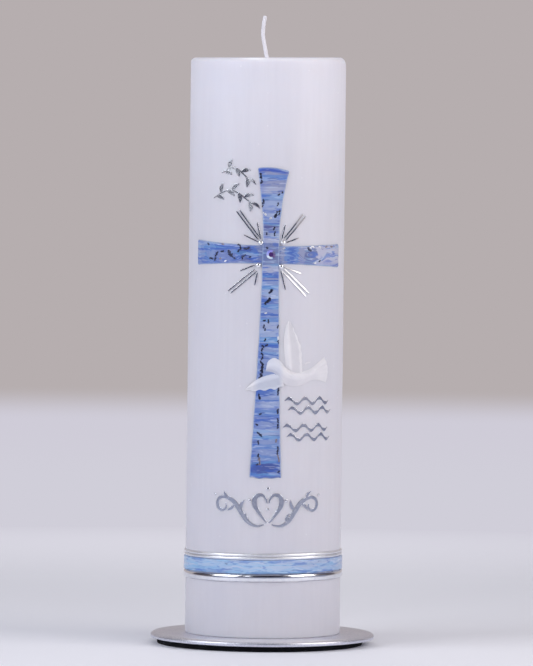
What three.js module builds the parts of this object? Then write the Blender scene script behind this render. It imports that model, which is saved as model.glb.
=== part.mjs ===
// Baptism candle: a wax pillar with a marbled cross, a wax dove and silver trim, standing on a metal plate.
// Millimetres, +Z up. The decorated side faces -Y, and the origin is the middle of the plate's footprint.
import * as THREE from 'three';
import { ConvexGeometry } from 'three/addons/geometries/ConvexGeometry.js';

// Clearances
const seatGap = 0.2; // under a piece that is pressed or glued on
const boreGap = 0.3; // round the wick and round the spike
const besideGap = 0.2; // between pieces that lie side by side on the wax

// Foam pad under the plate, stuck on a little off centre
const padRadius = 46.6;
const padThickness = 2.6;
const padShift = -1.1;

// Metal plate with a softly rounded rim
const plateRadius = 50.5;
const plateThickness = 2.35;
const rimRoundWidth = 2;
const rimRoundHeight = 1.3;
const rimUnderRound = 0.5;

// Spike that holds the candle, set through the plate from below
const spikeRadius = 1.7;
const spikeHeight = 20;
const spikePointLength = 9;
const spikeTipRadius = 0.25;
const spikeHeadRadius = 5;
const spikeHeadThickness = 0.8;

// Wax body
const candleRadius = 35;
const candleHeight = 260;
const footRound = 0.9;
const shoulderWidth = 2.1;
const shoulderHeight = 1.7;
const topHollow = 0.4;
const funnelRadius = 2.6;
const funnelDepth = 3;

// Wick, which leans to the left as it leaves the candle and turns back a little towards its tip
const wickRadius = 0.95;
const wickAboveSpike = 3;
const wickHeight = 18.3; // above the candle's top
const wickLean = 2.6; // at its furthest to the side
// Its bend, as shares of that height and that lean
const wickBends = [
  { rise: 0.01, side: 0.35 },
  { rise: 0.3, side: 0.73 },
  { rise: 0.55, side: 1 },
  { rise: 0.79, side: 0.9 },
  { rise: 1, side: 0.67 },
];

// Cross of two wax strips, with the upright laid over the bar
const stripThickness = 0.6;
const stripBevel = 0.15;
const crossHeight = 172; // of the crossing above the candle's foot
const crossLean = THREE.MathUtils.degToRad(0.9);
const flareStart = 11; // distance from the crossing where an arm begins to widen
const flarePower = 1.35;
const uprightWaist = 7.4;
const headLength = 38.3;
const headWidth = 13.4;
const stemLength = 100;
const stemWidth = 13.9;
const barWaist = 7.9;
const barReach = 39.15;
const barWidth = 10.5;
const bridgeRamp = 3; // length over which the upright climbs onto the bar
const stripInset = 2; // from the end of a strip to its first section between the bevels

// Stone on the crossing
const stoneRadius = 2.1;
const stoneGirdle = 0.35;
const stoneHeight = 1.5;
const stoneTableRadius = 1.15;

// Silver beads in the four corners, and the silver rays that fan out from them
const beadRadius = 1.1;
const beadHeight = 1;
const rayWidth = 0.6;
const rayThickness = 0.35;
const rayEndShare = 0.6; // of its width at the far end
const raySection = 3; // distance between the sections of a ray
const rayPairSpacing = 1.38;
const rayPairStart = 3; // from the middle of the bead
const rayShortStart = 1.7;
const riseRayAngle = THREE.MathUtils.degToRad(14);
const riseRayShift = 0.3; // towards the upright
const sideRayAngle = THREE.MathUtils.degToRad(68.5);
const sideRayShift = 0.5; // towards the bar
// The long pair's angle off the upright in degrees, and the lengths of the pair and of the two short rays
const corners = [
  { name: 'upper_left', side: -1, rise: 1, pairAngle: 39.4, pair: 15, riseRay: 7.7, sideRay: 7.2 },
  { name: 'upper_right', side: 1, rise: 1, pairAngle: 38.8, pair: 13.2, riseRay: 6.9, sideRay: 6.4 },
  { name: 'lower_left', side: -1, rise: -1, pairAngle: 49.2, pair: 14.8, riseRay: 6.6, sideRay: 7.3 },
  { name: 'lower_right', side: 1, rise: -1, pairAngle: 47.5, pair: 15, riseRay: 8.5, sideRay: 7.9 },
];

// Dove: outlines in its own plane, from the middle of its back, as pairs of opposite edge points
const doveAlong = 12; // round the candle from the front
const doveHeight = 118; // above the candle's foot
const doveEdge = 0.5; // thickness at its edges
const doveBodyThickness = 2.3;
const doveTailThickness = 1.1;
const doveWingThickness = 1.25;
const doveWingPanel = 0.8;
const doveTailSwell = 1.7;
const doveTailStart = 0.72; // share of the body's length where the tail begins to fan out
const doveHeadEnd = 0.2; // share of the body's length where the head has swelled to the full thickness
const doveHeadShare = 0.75; // of the crest's height at the beak
const doveCrestLean = 1.3; // above 1 moves the crest towards the back
const doveCrestFullness = 0.7; // below 1 makes the sides fuller
const doveWingRidge = 0.45; // share of a wing's width that its leading ridge takes
const doveWingTipShare = 0.6; // of a wing's relief at its tip
const doveWingFullness = 0.5; // below 1 keeps the panel high towards the trailing edge
const feathers = 5;
const featherGroove = 0.22;
const drapeMargin = 0.7; // beyond the upright's edge before the dove begins to sink to the wax
const drapeLength = 4;
const bodyPairs = [
  { lower: [-13.7, 1.9], upper: [-13.4, 4.2] },
  { lower: [-12.2, 1.7], upper: [-12.6, 6.4] },
  { lower: [-10.3, 1.2], upper: [-10.1, 7.8] },
  { lower: [-8.6, -0.1], upper: [-7.4, 6.5] },
  { lower: [-7.1, -1.8], upper: [-5, 3.8] },
  { lower: [-4.8, -4.1], upper: [-2.2, 2] },
  { lower: [-1, -4.9], upper: [1, 1.2] },
  { lower: [3.6, -4.2], upper: [4.8, 1.9] },
  { lower: [8.4, -2.3], upper: [9, 3.6] },
  { lower: [13, -2.5], upper: [12.6, 5.9] },
  { lower: [17.2, -3.8], upper: [16, 8] },
];
const upperWingPairs = [
  { lower: [-5.6, 5], upper: [1, 1.9] },
  { lower: [-5.8, 8], upper: [2.7, 4.9] },
  { lower: [-5.8, 12], upper: [3, 8.6] },
  { lower: [-5.4, 16.5], upper: [2.1, 12.6] },
  { lower: [-5, 20], upper: [0.5, 16.9] },
  { lower: [-4.6, 22.6], upper: [-1.6, 21.1] },
  { lower: [-3.7, 24.1], upper: [-2.8, 23.8] },
];
const lowerWingPairs = [
  { lower: [-10.2, 0.3], upper: [-5.9, -5.2] },
  { lower: [-12.3, 0.2], upper: [-8.5, -5.9] },
  { lower: [-14.5, -0.5], upper: [-11.2, -6.2] },
  { lower: [-16.9, -1.5], upper: [-14.2, -6.6] },
  { lower: [-19.4, -3.3], upper: [-17.6, -6.9] },
  { lower: [-21.4, -5], upper: [-20.6, -7] },
  { lower: [-23, -6.4], upper: [-22.8, -6.9] },
];
const upperWingRootSag = 0.75;
const lowerWingRootSwell = 0.7;
const lowerWingRootHeading = { x: 0.8, y: 0.6 };

// Bands round the foot, each with its height and how far it stands proud
const bandStart = 25.3; // above the candle's foot
const bandLean = THREE.MathUtils.degToRad(0.5);
const bandSeam = 0.4; // between the two ends of a band, at the back
const bandEdgeShare = 0.3; // of a round band's thickness, at its edges
const silverBandHeight = 3.7;
const silverBandProud = 1;
const blueBandHeight = 6;
const blueBandProud = 0.6;
const fineStripHeight = 1.25;
const fineStripProud = 0.6;
const silverBand = { height: silverBandHeight, proud: silverBandProud, round: true, look: 'silver' };
const blueBand = { height: blueBandHeight, proud: blueBandProud, round: false, look: 'paleMarble' };
const fineStrip = { height: fineStripHeight, proud: fineStripProud, round: true, look: 'silver' };
// From the lowest up
const bands = [
  { name: 'silver_band', ...silverBand },
  { name: 'blue_band', ...blueBand },
  { name: 'lower_silver_strip', ...fineStrip },
  { name: 'upper_silver_strip', ...fineStrip },
];

// Facets: round each turned piece, along each strip and across the reliefs
const facets = {
  pad: 72,
  plate: 80,
  spike: 24,
  candle: 80,
  bead: 12,
  wickSides: 8,
  wickLength: 60,
  bar: 30,
  stem: 20,
  head: 8,
  bridge: 3,
  acrossUpright: 5,
  band: 64,
  bandRound: 4,
};
const bodyMesh = { rows: 26, columns: 10 };
const wingMesh = { rows: 14, columns: 7 };

// Levels that follow from the sizes
const plateUnderside = padThickness;
const plateTop = plateUnderside + plateThickness;
const candleTop = plateTop + candleHeight;
const spikeTip = plateTop + spikeHeight;
const spikeShoulder = spikeTip - spikePointLength;
const crossLevel = plateTop + crossHeight;
const doveLevel = plateTop + doveHeight;
const stripTop = seatGap + stripThickness;
const bridgeLift = stripThickness + seatGap;

const looks = {
  foam: { color: 0x0c0c0e, roughness: 0.95, metalness: 0 },
  plate: { color: 0xa9abb4, roughness: 0.42, metalness: 0.9 },
  steel: { color: 0xb4b6ba, roughness: 0.3, metalness: 1 },
  wax: { color: 0xe6e3ec, roughness: 0.5, metalness: 0 },
  cotton: { color: 0xf1eff2, roughness: 0.85, metalness: 0 },
  marble: { color: 0x5f83cb, roughness: 0.3, metalness: 0 },
  paleMarble: { color: 0x8fb4e6, roughness: 0.3, metalness: 0 },
  silver: { color: 0xc9cbd3, roughness: 0.15, metalness: 1 },
  pearl: { color: 0xf0eef5, roughness: 0.35, metalness: 0 },
  crystal: { color: 0xa9a4ea, roughness: 0.05, metalness: 0.2 },
};

const candle = new THREE.Group();

// Adds a finished piece to the candle, with a material of its own
function add(name, geometry, look) {
  const mesh = new THREE.Mesh(geometry, new THREE.MeshStandardMaterial(looks[look]));
  mesh.name = name;
  candle.add(mesh);
  return mesh;
}

const { lerp, smoothstep } = THREE.MathUtils;

// Values from one number to another in even steps, both ends included
function spread(from, to, steps) {
  return Array.from({ length: steps + 1 }, (_, i) => lerp(from, to, i / steps));
}

// Points [radius, height] of a quarter ellipse, which leaves its start upwards or else sideways, and ends
// square to that
function quarter(start, end, steps, upFirst) {
  return spread(0, Math.PI / 2, steps).map((turn) => {
    const early = Math.sin(turn);
    const late = 1 - Math.cos(turn);
    const across = upFirst ? late : early;
    const up = upFirst ? early : late;
    return [lerp(start[0], end[0], across), lerp(start[1], end[1], up)];
  });
}

// Solid of revolution about +Z from points [radius, height]
function turned(points, segments) {
  const profile = points.map(([radius, height]) => new THREE.Vector2(radius, height));
  return new THREE.LatheGeometry(profile, segments).rotateX(Math.PI / 2);
}

// Turns every face over where the body would be inside out
function facedOut(points, faces) {
  let volume = 0;
  const normal = new THREE.Vector3();
  for (let i = 0; i < faces.length; i += 3) {
    const [a, b, c] = faces.slice(i, i + 3).map((index) => points[index]);
    volume += normal.crossVectors(b, c).dot(a);
  }
  return volume < 0 ? faces.toReversed() : faces;
}

// Closed body through rings of points. A ring runs along its underside and back over its outer face, so that
// an end is closed by strips between the two.
function loft(rings) {
  const size = rings[0].length;
  const last = (rings.length - 1) * size;
  const points = rings.flat();
  const faces = [];
  for (let row = 0; row < last; row += size) {
    for (let i = 0; i < size; i += 1) {
      const a = row + i;
      const b = row + ((i + 1) % size);
      faces.push(a, b, b + size, a, b + size, a + size);
    }
  }
  for (let i = 0, j = size - 1; i + 1 < j; i += 1, j -= 1) {
    faces.push(i, j, i + 1);
    faces.push(last + i, last + i + 1, last + j);
    if (i + 1 < j - 1) {
      faces.push(i + 1, j, j - 1);
      faces.push(last + i + 1, last + j - 1, last + j);
    }
  }
  const geometry = new THREE.BufferGeometry().setFromPoints(points);
  geometry.setIndex(facedOut(points, faces));
  return geometry;
}

// Point at a distance round the candle from the front, at a level, and a distance off the wax
function onCandle(along, level, off) {
  const angle = along / candleRadius;
  const reach = candleRadius + off;
  return new THREE.Vector3(reach * Math.sin(angle), -reach * Math.cos(angle), level);
}

// Point in the plane of the leaning cross, x along the bar and y up the upright from the crossing
function onCross(x, y, off) {
  const along = x * Math.cos(crossLean) + y * Math.sin(crossLean);
  const level = crossLevel + y * Math.cos(crossLean) - x * Math.sin(crossLean);
  return onCandle(along, level, off);
}

// Ring across a flat strip: its underside in even steps, then its outer face back with a bevel at each edge
function stripRing(low, high, steps, thickness, place) {
  const under = spread(low, high, steps).map((a) => place(a, 0));
  const over = spread(high - stripBevel, low + stripBevel, steps).map((a) => place(a, thickness));
  const highEdge = place(high, thickness - stripBevel);
  const lowEdge = place(low, thickness - stripBevel);
  return [...under, highEdge, ...over, lowEdge];
}

// Stations along a strip with the bevel's width at each end, and the thickness at each
function bevelledEnds(low, high, between) {
  const stations = [low, low + stripBevel, ...between, high - stripBevel, high];
  return stations.map((station) => {
    const atEnd = station === low || station === high;
    return { station, thickness: atEnd ? stripThickness - stripBevel : stripThickness };
  });
}

// Half the width of an arm at a distance from the crossing
function armHalf(distance, waist, end, reach) {
  const share = Math.max(0, (distance - flareStart) / (reach - flareStart));
  return (waist + (end - waist) * share ** flarePower) / 2;
}

function barHalf(x) {
  return armHalf(Math.abs(x), barWaist, barWidth, barReach);
}

function uprightHalf(y) {
  if (y > 0) {
    return armHalf(y, uprightWaist, headWidth, headLength);
  }
  return armHalf(-y, uprightWaist, stemWidth, stemLength);
}

// How far the upright is lifted where it passes over the bar
const bridgeEdge = barWaist / 2 + besideGap;
const bridgeFoot = bridgeEdge + bridgeRamp;
function uprightLift(y) {
  return bridgeLift * (1 - smoothstep(Math.abs(y), bridgeEdge, bridgeFoot));
}

function makePad() {
  const recessRadius = spikeHeadRadius + Math.abs(padShift) + boreGap;
  const recessFloor = padThickness - spikeHeadThickness - boreGap;
  const profile = [
    [0, 0],
    [padRadius, 0],
    [padRadius, padThickness],
    [recessRadius, padThickness],
    [recessRadius, recessFloor],
    [0, recessFloor],
  ];
  add('foot_pad', turned(profile, facets.pad), 'foam').position.x = padShift;
}

function makePlate() {
  const holeRadius = spikeRadius + boreGap;
  const profile = [
    [holeRadius, plateUnderside],
    ...quarter(
      [plateRadius - rimUnderRound, plateUnderside], [plateRadius, plateUnderside + rimUnderRound], 2, false,
    ),
    ...quarter([plateRadius, plateTop - rimRoundHeight], [plateRadius - rimRoundWidth, plateTop], 5, true),
    [holeRadius, plateTop],
    [holeRadius, plateUnderside],
  ];
  add('candle_plate', turned(profile, facets.plate), 'plate');
}

function makeSpike() {
  const headUnderside = plateUnderside - spikeHeadThickness;
  const profile = [
    [0, headUnderside],
    [spikeHeadRadius, headUnderside],
    [spikeHeadRadius, plateUnderside],
    [spikeRadius, plateUnderside],
    [spikeRadius, spikeShoulder],
    [spikeTipRadius, spikeTip],
    [0, spikeTip],
  ];
  add('plate_spike', turned(profile, facets.spike), 'steel');
}

function makeCandle() {
  const boreRadius = wickRadius + boreGap;
  const holeRadius = spikeRadius + boreGap;
  const profile = [
    [boreRadius, candleTop - funnelDepth],
    [boreRadius, spikeTip + boreGap],
    [holeRadius, spikeShoulder],
    [holeRadius, plateTop],
    ...quarter([candleRadius - footRound, plateTop], [candleRadius, plateTop + footRound], 3, false),
    ...quarter(
      [candleRadius, candleTop - shoulderHeight], [candleRadius - shoulderWidth, candleTop], 5, true,
    ),
    [funnelRadius, candleTop - topHollow],
    [boreRadius, candleTop - funnelDepth],
  ];
  add('candle_body', turned(profile, facets.candle), 'wax');
}

// The wick runs straight up the bore and leaves it with a slight bend
function makeWick() {
  const foot = new THREE.Vector3(0, 0, spikeTip + wickAboveSpike);
  const throat = new THREE.Vector3(0, 0, candleTop - funnelDepth);
  const bends = wickBends.map(({ rise, side }) => {
    return new THREE.Vector3(-side * wickLean, 0, candleTop + rise * wickHeight);
  });
  const route = new THREE.CurvePath();
  route.add(new THREE.LineCurve3(foot, throat));
  route.add(new THREE.CatmullRomCurve3([throat, ...bends]));
  const round = new THREE.Path().absarc(0, 0, wickRadius, 0, Math.PI * 2);
  const section = new THREE.Shape(round.getPoints(facets.wickSides));
  const options = { steps: facets.wickLength, extrudePath: route, bevelEnabled: false };
  add('wick', new THREE.ExtrudeGeometry(section, options), 'cotton');
}

function makeBar() {
  const between = spread(-barReach + stripInset, barReach - stripInset, facets.bar);
  const rings = bevelledEnds(-barReach, barReach, between);
  const geometry = loft(rings.map(({ station, thickness }) => {
    const half = barHalf(station);
    return stripRing(-half, half, 1, thickness, (y, off) => onCross(station, y, seatGap + off));
  }));
  add('cross_bar', geometry, 'marble');
}

function makeUpright() {
  const between = [
    ...spread(-stemLength + stripInset, -bridgeFoot, facets.stem),
    ...spread(-bridgeFoot, -bridgeEdge, facets.bridge).slice(1),
    ...spread(bridgeEdge, bridgeFoot, facets.bridge),
    ...spread(bridgeFoot, headLength - stripInset, facets.head).slice(1),
  ];
  const rings = bevelledEnds(-stemLength, headLength, between);
  const geometry = loft(rings.map(({ station, thickness }) => {
    const half = uprightHalf(station);
    const under = seatGap + uprightLift(station);
    const place = (x, off) => onCross(x, station, under + off);
    return stripRing(-half, half, facets.acrossUpright, thickness, place);
  }));
  add('cross_upright', geometry, 'marble');
}

// Turns a piece made about +Z so that it stands out from the candle at a place on the cross
function standOnCross(mesh, x, y, off) {
  const place = onCross(x, y, off);
  mesh.position.copy(place);
  mesh.rotation.set(Math.PI / 2, 0, Math.atan2(place.x, -place.y), 'ZXY');
}

// Flat-backed stone: a sixteen-sided girdle drawn in to an eight-sided table
function makeStone() {
  const points = [];
  for (let i = 0; i < 16; i += 1) {
    const turn = (i * Math.PI) / 8;
    const x = stoneRadius * Math.cos(turn);
    const y = stoneRadius * Math.sin(turn);
    points.push(new THREE.Vector3(x, y, 0), new THREE.Vector3(x, y, stoneGirdle));
  }
  for (let i = 0; i < 8; i += 1) {
    const turn = ((i + 0.5) * Math.PI) / 4;
    const x = stoneTableRadius * Math.cos(turn);
    const y = stoneTableRadius * Math.sin(turn);
    points.push(new THREE.Vector3(x, y, stoneHeight));
  }
  const stone = add('rhinestone', new ConvexGeometry(points), 'crystal');
  standOnCross(stone, 0, 0, stripTop + bridgeLift + seatGap);
}

// Low half-round bar from a start point in the cross's plane, drawn in at its far end
function makeRay(name, start, heading, length) {
  const steps = Math.ceil(length / raySection);
  const rings = spread(0, length, steps).map((distance, i) => {
    const half = (rayWidth / 2) * (i === steps ? rayEndShare : 1);
    const place = (a, off) => onCross(
      start.x + heading.x * distance - heading.y * a,
      start.y + heading.y * distance + heading.x * a,
      seatGap + off,
    );
    return [place(-half, 0), place(half, 0), place(half / 2, rayThickness), place(-half / 2, rayThickness)];
  });
  add(name, loft(rings), 'silver');
}

// Bead in a corner of the cross, with a long pair of rays between two short ones
function makeCorner({ name, side, rise, pairAngle, pair, riseRay, sideRay }) {
  const middle = new THREE.Vector2(
    side * (uprightWaist / 2 + besideGap + beadRadius),
    rise * (barWaist / 2 + besideGap + beadRadius),
  );
  const dome = [[0, 0], ...quarter([beadRadius, 0], [0, beadHeight], 5, true)];
  standOnCross(add(`bead_${name}`, turned(dome, facets.bead), 'silver'), middle.x, middle.y, seatGap);

  // A ray at an angle off the upright, shifted from the line through the bead, positive towards the bar
  const fan = (kind, angle, begin, shift, length) => {
    const heading = new THREE.Vector2(side * Math.sin(angle), rise * Math.cos(angle));
    const aside = new THREE.Vector2(side * Math.cos(angle), -rise * Math.sin(angle));
    const start = middle.clone().addScaledVector(heading, begin).addScaledVector(aside, shift);
    makeRay(`ray_${name}_${kind}`, start, heading, length);
  };
  const pairHeading = THREE.MathUtils.degToRad(pairAngle);
  fan('rise', riseRayAngle, rayShortStart, -riseRayShift, riseRay);
  fan('inner', pairHeading, rayPairStart, -rayPairSpacing / 2, pair);
  fan('outer', pairHeading, rayPairStart, rayPairSpacing / 2, pair);
  fan('side', sideRayAngle, rayShortStart, sideRayShift, sideRay);
}

// Height off the wax of the dove's underside, which climbs over the upright of the cross
function doveSeat(along, level) {
  const rise = level - crossLevel;
  const x = along * Math.cos(crossLean) - rise * Math.sin(crossLean);
  const y = along * Math.sin(crossLean) + rise * Math.cos(crossLean);
  const outside = Math.abs(x) - uprightHalf(y);
  return seatGap + bridgeLift * (1 - smoothstep(outside, drapeMargin, drapeMargin + drapeLength));
}

// Relief part between two edges, with a thickness and an in-plane shift at each share across and along it
function makeRelief(name, pairs, { rows, columns }, thickness, shift) {
  const lower = new THREE.SplineCurve(pairs.map((pair) => new THREE.Vector2(...pair.lower)));
  const upper = new THREE.SplineCurve(pairs.map((pair) => new THREE.Vector2(...pair.upper)));
  const rings = spread(0, 1, rows).map((v) => {
    const low = lower.getPoint(v);
    const high = upper.getPoint(v);
    const place = (u, height) => {
      const point = low.clone().lerp(high, u).add(shift(u, v));
      const along = doveAlong + point.x;
      const level = doveLevel + point.y;
      return onCandle(along, level, doveSeat(along, level) + height);
    };
    const under = spread(0, 1, columns).map((u) => place(u, 0));
    const over = spread(1, 0, columns).map((u) => place(u, thickness(u, v)));
    return [...under, ...over];
  });
  add(name, loft(rings), 'pearl');
}

// Body with its crest near the back, ending in a fan of grooved tail feathers
function makeDoveBody() {
  const tailShare = (v) => smoothstep(v, doveTailStart, 1);
  const thickness = (u, v) => {
    const crest = lerp(doveBodyThickness, doveTailThickness, tailShare(v));
    const dome = Math.sin(Math.PI * u ** doveCrestLean) ** doveCrestFullness;
    const head = lerp(doveHeadShare, 1, smoothstep(v, 0, doveHeadEnd));
    const groove = featherGroove * tailShare(v) * Math.sin(Math.PI * feathers * u) ** 2;
    return doveEdge + (crest - doveEdge) * dome * head + groove;
  };
  const shift = (u, v) => new THREE.Vector2(doveTailSwell * Math.sin(Math.PI * u) * tailShare(v) ** 2, 0);
  makeRelief('dove_body', bodyPairs, bodyMesh, thickness, shift);
}

// Wing with a thick leading edge, a lower panel behind it and a thin trailing edge
function wingThickness(u, v) {
  const ridge = Math.sin(Math.PI * Math.min(1, u / doveWingRidge));
  const ridgeTop = doveWingRidge / 2;
  const behind = (u - ridgeTop) / (1 - ridgeTop);
  const panel = behind < 0 ? 0 : Math.cos((Math.PI / 2) * behind) ** doveWingFullness;
  const relief = Math.max((doveWingThickness - doveEdge) * ridge, (doveWingPanel - doveEdge) * panel);
  return doveEdge + relief * lerp(1, doveWingTipShare, v ** 2);
}

function makeDoveWings() {
  const upperShift = (u, v) => new THREE.Vector2(0, -upperWingRootSag * Math.sin(Math.PI * u) * (1 - v) ** 4);
  const lowerShift = (u, v) => {
    const swell = lowerWingRootSwell * Math.sin(Math.PI * u) * (1 - v) ** 4;
    return new THREE.Vector2(swell * lowerWingRootHeading.x, swell * lowerWingRootHeading.y);
  };
  makeRelief('dove_upper_wing', upperWingPairs, wingMesh, wingThickness, upperShift);
  makeRelief('dove_lower_wing', lowerWingPairs, wingMesh, wingThickness, lowerShift);
}

// Strip wound round the candle, half round or flat with bevels, with its ends butted at the back
function makeBand({ name, height, proud, round, look }, bottom) {
  const end = Math.PI * candleRadius - bandSeam / 2;
  const rings = spread(-end, end, facets.band).map((along) => {
    const sway = candleRadius * Math.sin(along / candleRadius) * Math.tan(bandLean);
    const place = (up, off) => onCandle(along, bottom + sway + up, seatGap + off);
    if (!round) {
      return stripRing(0, height, 1, proud, place);
    }
    const arc = spread(0, Math.PI, facets.bandRound).map((turn) => {
      const up = (height / 2) * (1 + Math.cos(turn));
      return place(up, proud * lerp(bandEdgeShare, 1, Math.sin(turn)));
    });
    return [place(0, 0), place(height, 0), ...arc];
  });
  add(name, loft(rings), look);
}

function makeBands() {
  let bottom = plateTop + bandStart;
  for (const band of bands) {
    makeBand(band, bottom);
    bottom += band.height + besideGap;
  }
}

makePad();
makePlate();
makeSpike();
makeCandle();
makeWick();
makeBar();
makeUpright();
makeStone();
corners.forEach(makeCorner);
makeDoveBody();
makeDoveWings();
makeBands();

export default candle;
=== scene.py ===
"""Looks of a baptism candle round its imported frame: wax pillar, marbled cross, dove, silver trim and plate.

Lengths are in millimetres until a mesh is made, which turns them into metres. Places on the candle are
given as along, the distance round it from the front, and level, the height above the floor.
"""

import math
import random

import bpy
from mathutils import Matrix, Vector, noise


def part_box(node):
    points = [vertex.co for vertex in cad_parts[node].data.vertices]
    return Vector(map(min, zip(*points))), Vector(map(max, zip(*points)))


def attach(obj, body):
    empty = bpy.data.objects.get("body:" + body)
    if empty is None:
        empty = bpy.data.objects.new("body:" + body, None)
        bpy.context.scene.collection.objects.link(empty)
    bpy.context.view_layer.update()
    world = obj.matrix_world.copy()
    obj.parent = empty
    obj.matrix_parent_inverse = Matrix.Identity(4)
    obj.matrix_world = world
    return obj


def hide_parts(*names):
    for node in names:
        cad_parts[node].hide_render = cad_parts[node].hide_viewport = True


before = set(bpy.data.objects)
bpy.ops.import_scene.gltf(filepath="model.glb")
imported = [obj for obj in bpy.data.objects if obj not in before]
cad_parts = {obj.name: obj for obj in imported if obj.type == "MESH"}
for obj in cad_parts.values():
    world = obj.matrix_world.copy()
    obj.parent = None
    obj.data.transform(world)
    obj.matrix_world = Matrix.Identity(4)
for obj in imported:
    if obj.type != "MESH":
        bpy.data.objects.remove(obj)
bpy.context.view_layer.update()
MM = 0.001

# Sizes read from the frame, in millimetres
CANDLE_LOW, CANDLE_HIGH = (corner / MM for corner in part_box("candle_body"))
RADIUS = CANDLE_HIGH.x
FOOT = CANDLE_LOW.z
TOP = CANDLE_HIGH.z
PLATE_LOW, PLATE_HIGH = (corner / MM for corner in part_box("candle_plate"))
PAD_LOW, PAD_HIGH = (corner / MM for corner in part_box("foot_pad"))
SPIKE_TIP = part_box("plate_spike")[1].z / MM

# Cross, as it is built
CROSS_LEVEL = FOOT + 172
CROSS_LEAN = math.radians(0.9)
STRIP = 0.55  # from the wax to the outer face of a strip
EDGE_TAPER = 0.7
FLARE_START = 11
FLARE_POWER = 1.35
UPRIGHT_WAIST, HEAD_LENGTH, HEAD_WIDTH, STEM_LENGTH, STEM_WIDTH = 7.4, 38.3, 13.4, 100, 13.9
BAR_WAIST, BAR_REACH, BAR_WIDTH = 7.9, 39.15, 10.5
BRIDGE_EDGE = BAR_WAIST / 2 + 0.2
BRIDGE_FOOT = BRIDGE_EDGE + 3

# Dove, as it is built
DOVE_ALONG = 12
DOVE_LEVEL = FOOT + 118
TAIL_FEATHERS = 5

# Places of other parts
LIP_ANGLE = -0.25  # the sharp part of the candle's shoulder, from the front, where the wax also has a painted highlight
BAND_START = FOOT + 25.45
BAND_LEAN = math.radians(0.5)
SCROLL_LEVEL = FOOT + 58.5

random.seed(11)


# Mesh helpers

def round_point(reach, angle, level):
    """Point at a reach from the candle's axis and an angle from the front."""
    return Vector((reach * math.sin(angle), -reach * math.cos(angle), level))


def on_candle(along, level, off):
    """Point at a distance round the candle, a level and a distance off the wax."""
    return round_point(RADIUS + off, along / RADIUS, level)


def on_cross(x, y, off):
    """Point in the plane of the leaning cross, x along the bar and y up the upright."""
    along = x * math.cos(CROSS_LEAN) + y * math.sin(CROSS_LEAN)
    level = CROSS_LEVEL + y * math.cos(CROSS_LEAN) - x * math.sin(CROSS_LEAN)
    return on_candle(along, level, off)


def spread(low, high, steps):
    """Even values from low to high, both included."""
    return [low + (high - low) * i / steps for i in range(steps + 1)]


def turns(count, shift=0):
    """Angles once round."""
    return [2 * math.pi * (i + shift) / count for i in range(count)]


def smooth(value, low, high):
    """Soft step from 0 at low to 1 at high."""
    share = min(1, max(0, (value - low) / (high - low)))
    return share * share * (3 - 2 * share)


def hump(value, middle, width):
    """Bell curve, 1 at its middle."""
    return math.exp(-(((value - middle) / width) ** 2))


def wander(*place):
    """Noise at a place of three numbers."""
    return noise.noise(Vector(place))


def directions(turn):
    """Directions along and across a turn in degrees."""
    ahead = Vector((math.cos(math.radians(turn)), math.sin(math.radians(turn))))
    return ahead, Vector((-ahead.y, ahead.x))


def finish_piece(piece, body, slot, replaced=()):
    """Puts a piece on its body and hides the nodes it stands for. slot is not used."""
    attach(piece, body)
    if replaced:
        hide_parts(*replaced)


def new_piece(name, points, faces, material, shade_smooth=True, strip=None):
    """Object from points in millimetres. strip gives each point's place on its strip, for the material."""
    mesh = bpy.data.meshes.new(name)
    mesh.from_pydata([Vector(p) * MM for p in points], [], faces)
    mesh.validate()
    if strip:
        layer = mesh.attributes.new("strip", "FLOAT_VECTOR", "POINT")
        layer.data.foreach_set("vector", [value for place in strip for value in place])
    mesh.materials.append(material)
    if shade_smooth:
        mesh.shade_smooth()
    else:
        mesh.shade_flat()
    mesh.update()
    piece = bpy.data.objects.new(name, mesh)
    bpy.context.scene.collection.objects.link(piece)
    return piece


def facing_out(points, faces):
    """Faces of a closed mesh, turned round if they point in."""
    volume = 0
    for face in faces:
        a = Vector(points[face[0]])
        for j in range(1, len(face) - 1):
            volume += a.dot(Vector(points[face[j]]).cross(Vector(points[face[j + 1]])))
    return faces if volume >= 0 else [tuple(reversed(face)) for face in faces]


def loft(rings, closed=False):
    """Points and faces of a solid through rings, each of which runs along its underside and back above."""
    size, count = len(rings[0]), len(rings)
    points = [p for ring in rings for p in ring]
    faces = []
    for row in range(count if closed else count - 1):
        ahead = (row + 1) % count * size
        for i in range(size):
            j = (i + 1) % size
            faces.append((row * size + i, row * size + j, ahead + j, ahead + i))
    if not closed:
        last = (count - 1) * size
        i, j = 0, size - 1
        while i + 1 < j:
            quad = (i, j, i + 1) if i + 1 == j - 1 else (i, j, j - 1, i + 1)
            faces.append(quad)
            faces.append(tuple(last + k for k in reversed(quad)))
            i, j = i + 1, j - 1
    return points, facing_out(points, faces)


def turned(name, profile, segments, material, wobble=None):
    """Solid of revolution about +Z through (radius, height) pairs that start and end on the axis."""
    points = [Vector((0, 0, profile[0][1]))]
    rows = profile[1:-1]
    for radius, height in rows:
        for angle in turns(segments):
            r, z = wobble(radius, height, angle) if wobble else (radius, height)
            points.append(round_point(r, angle, z))
    points.append(Vector((0, 0, profile[-1][1])))
    last = len(points) - 1
    faces = []
    for i in range(segments):
        j = (i + 1) % segments
        faces.append((0, 1 + j, 1 + i))
        for row in range(len(rows) - 1):
            a = 1 + row * segments
            faces.append((a + i, a + j, a + segments + j, a + segments + i))
        a = 1 + (len(rows) - 1) * segments
        faces.append((a + i, a + j, last))
    return new_piece(name, points, facing_out(points, faces), material)


def arc(centre, radii, start, end, steps):
    """(radius, height) pairs on part of an ellipse, with angles in degrees."""
    pairs = []
    for angle in spread(math.radians(start), math.radians(end), steps):
        pairs.append((centre[0] + radii[0] * math.cos(angle), centre[1] + radii[1] * math.sin(angle)))
    return pairs


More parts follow.
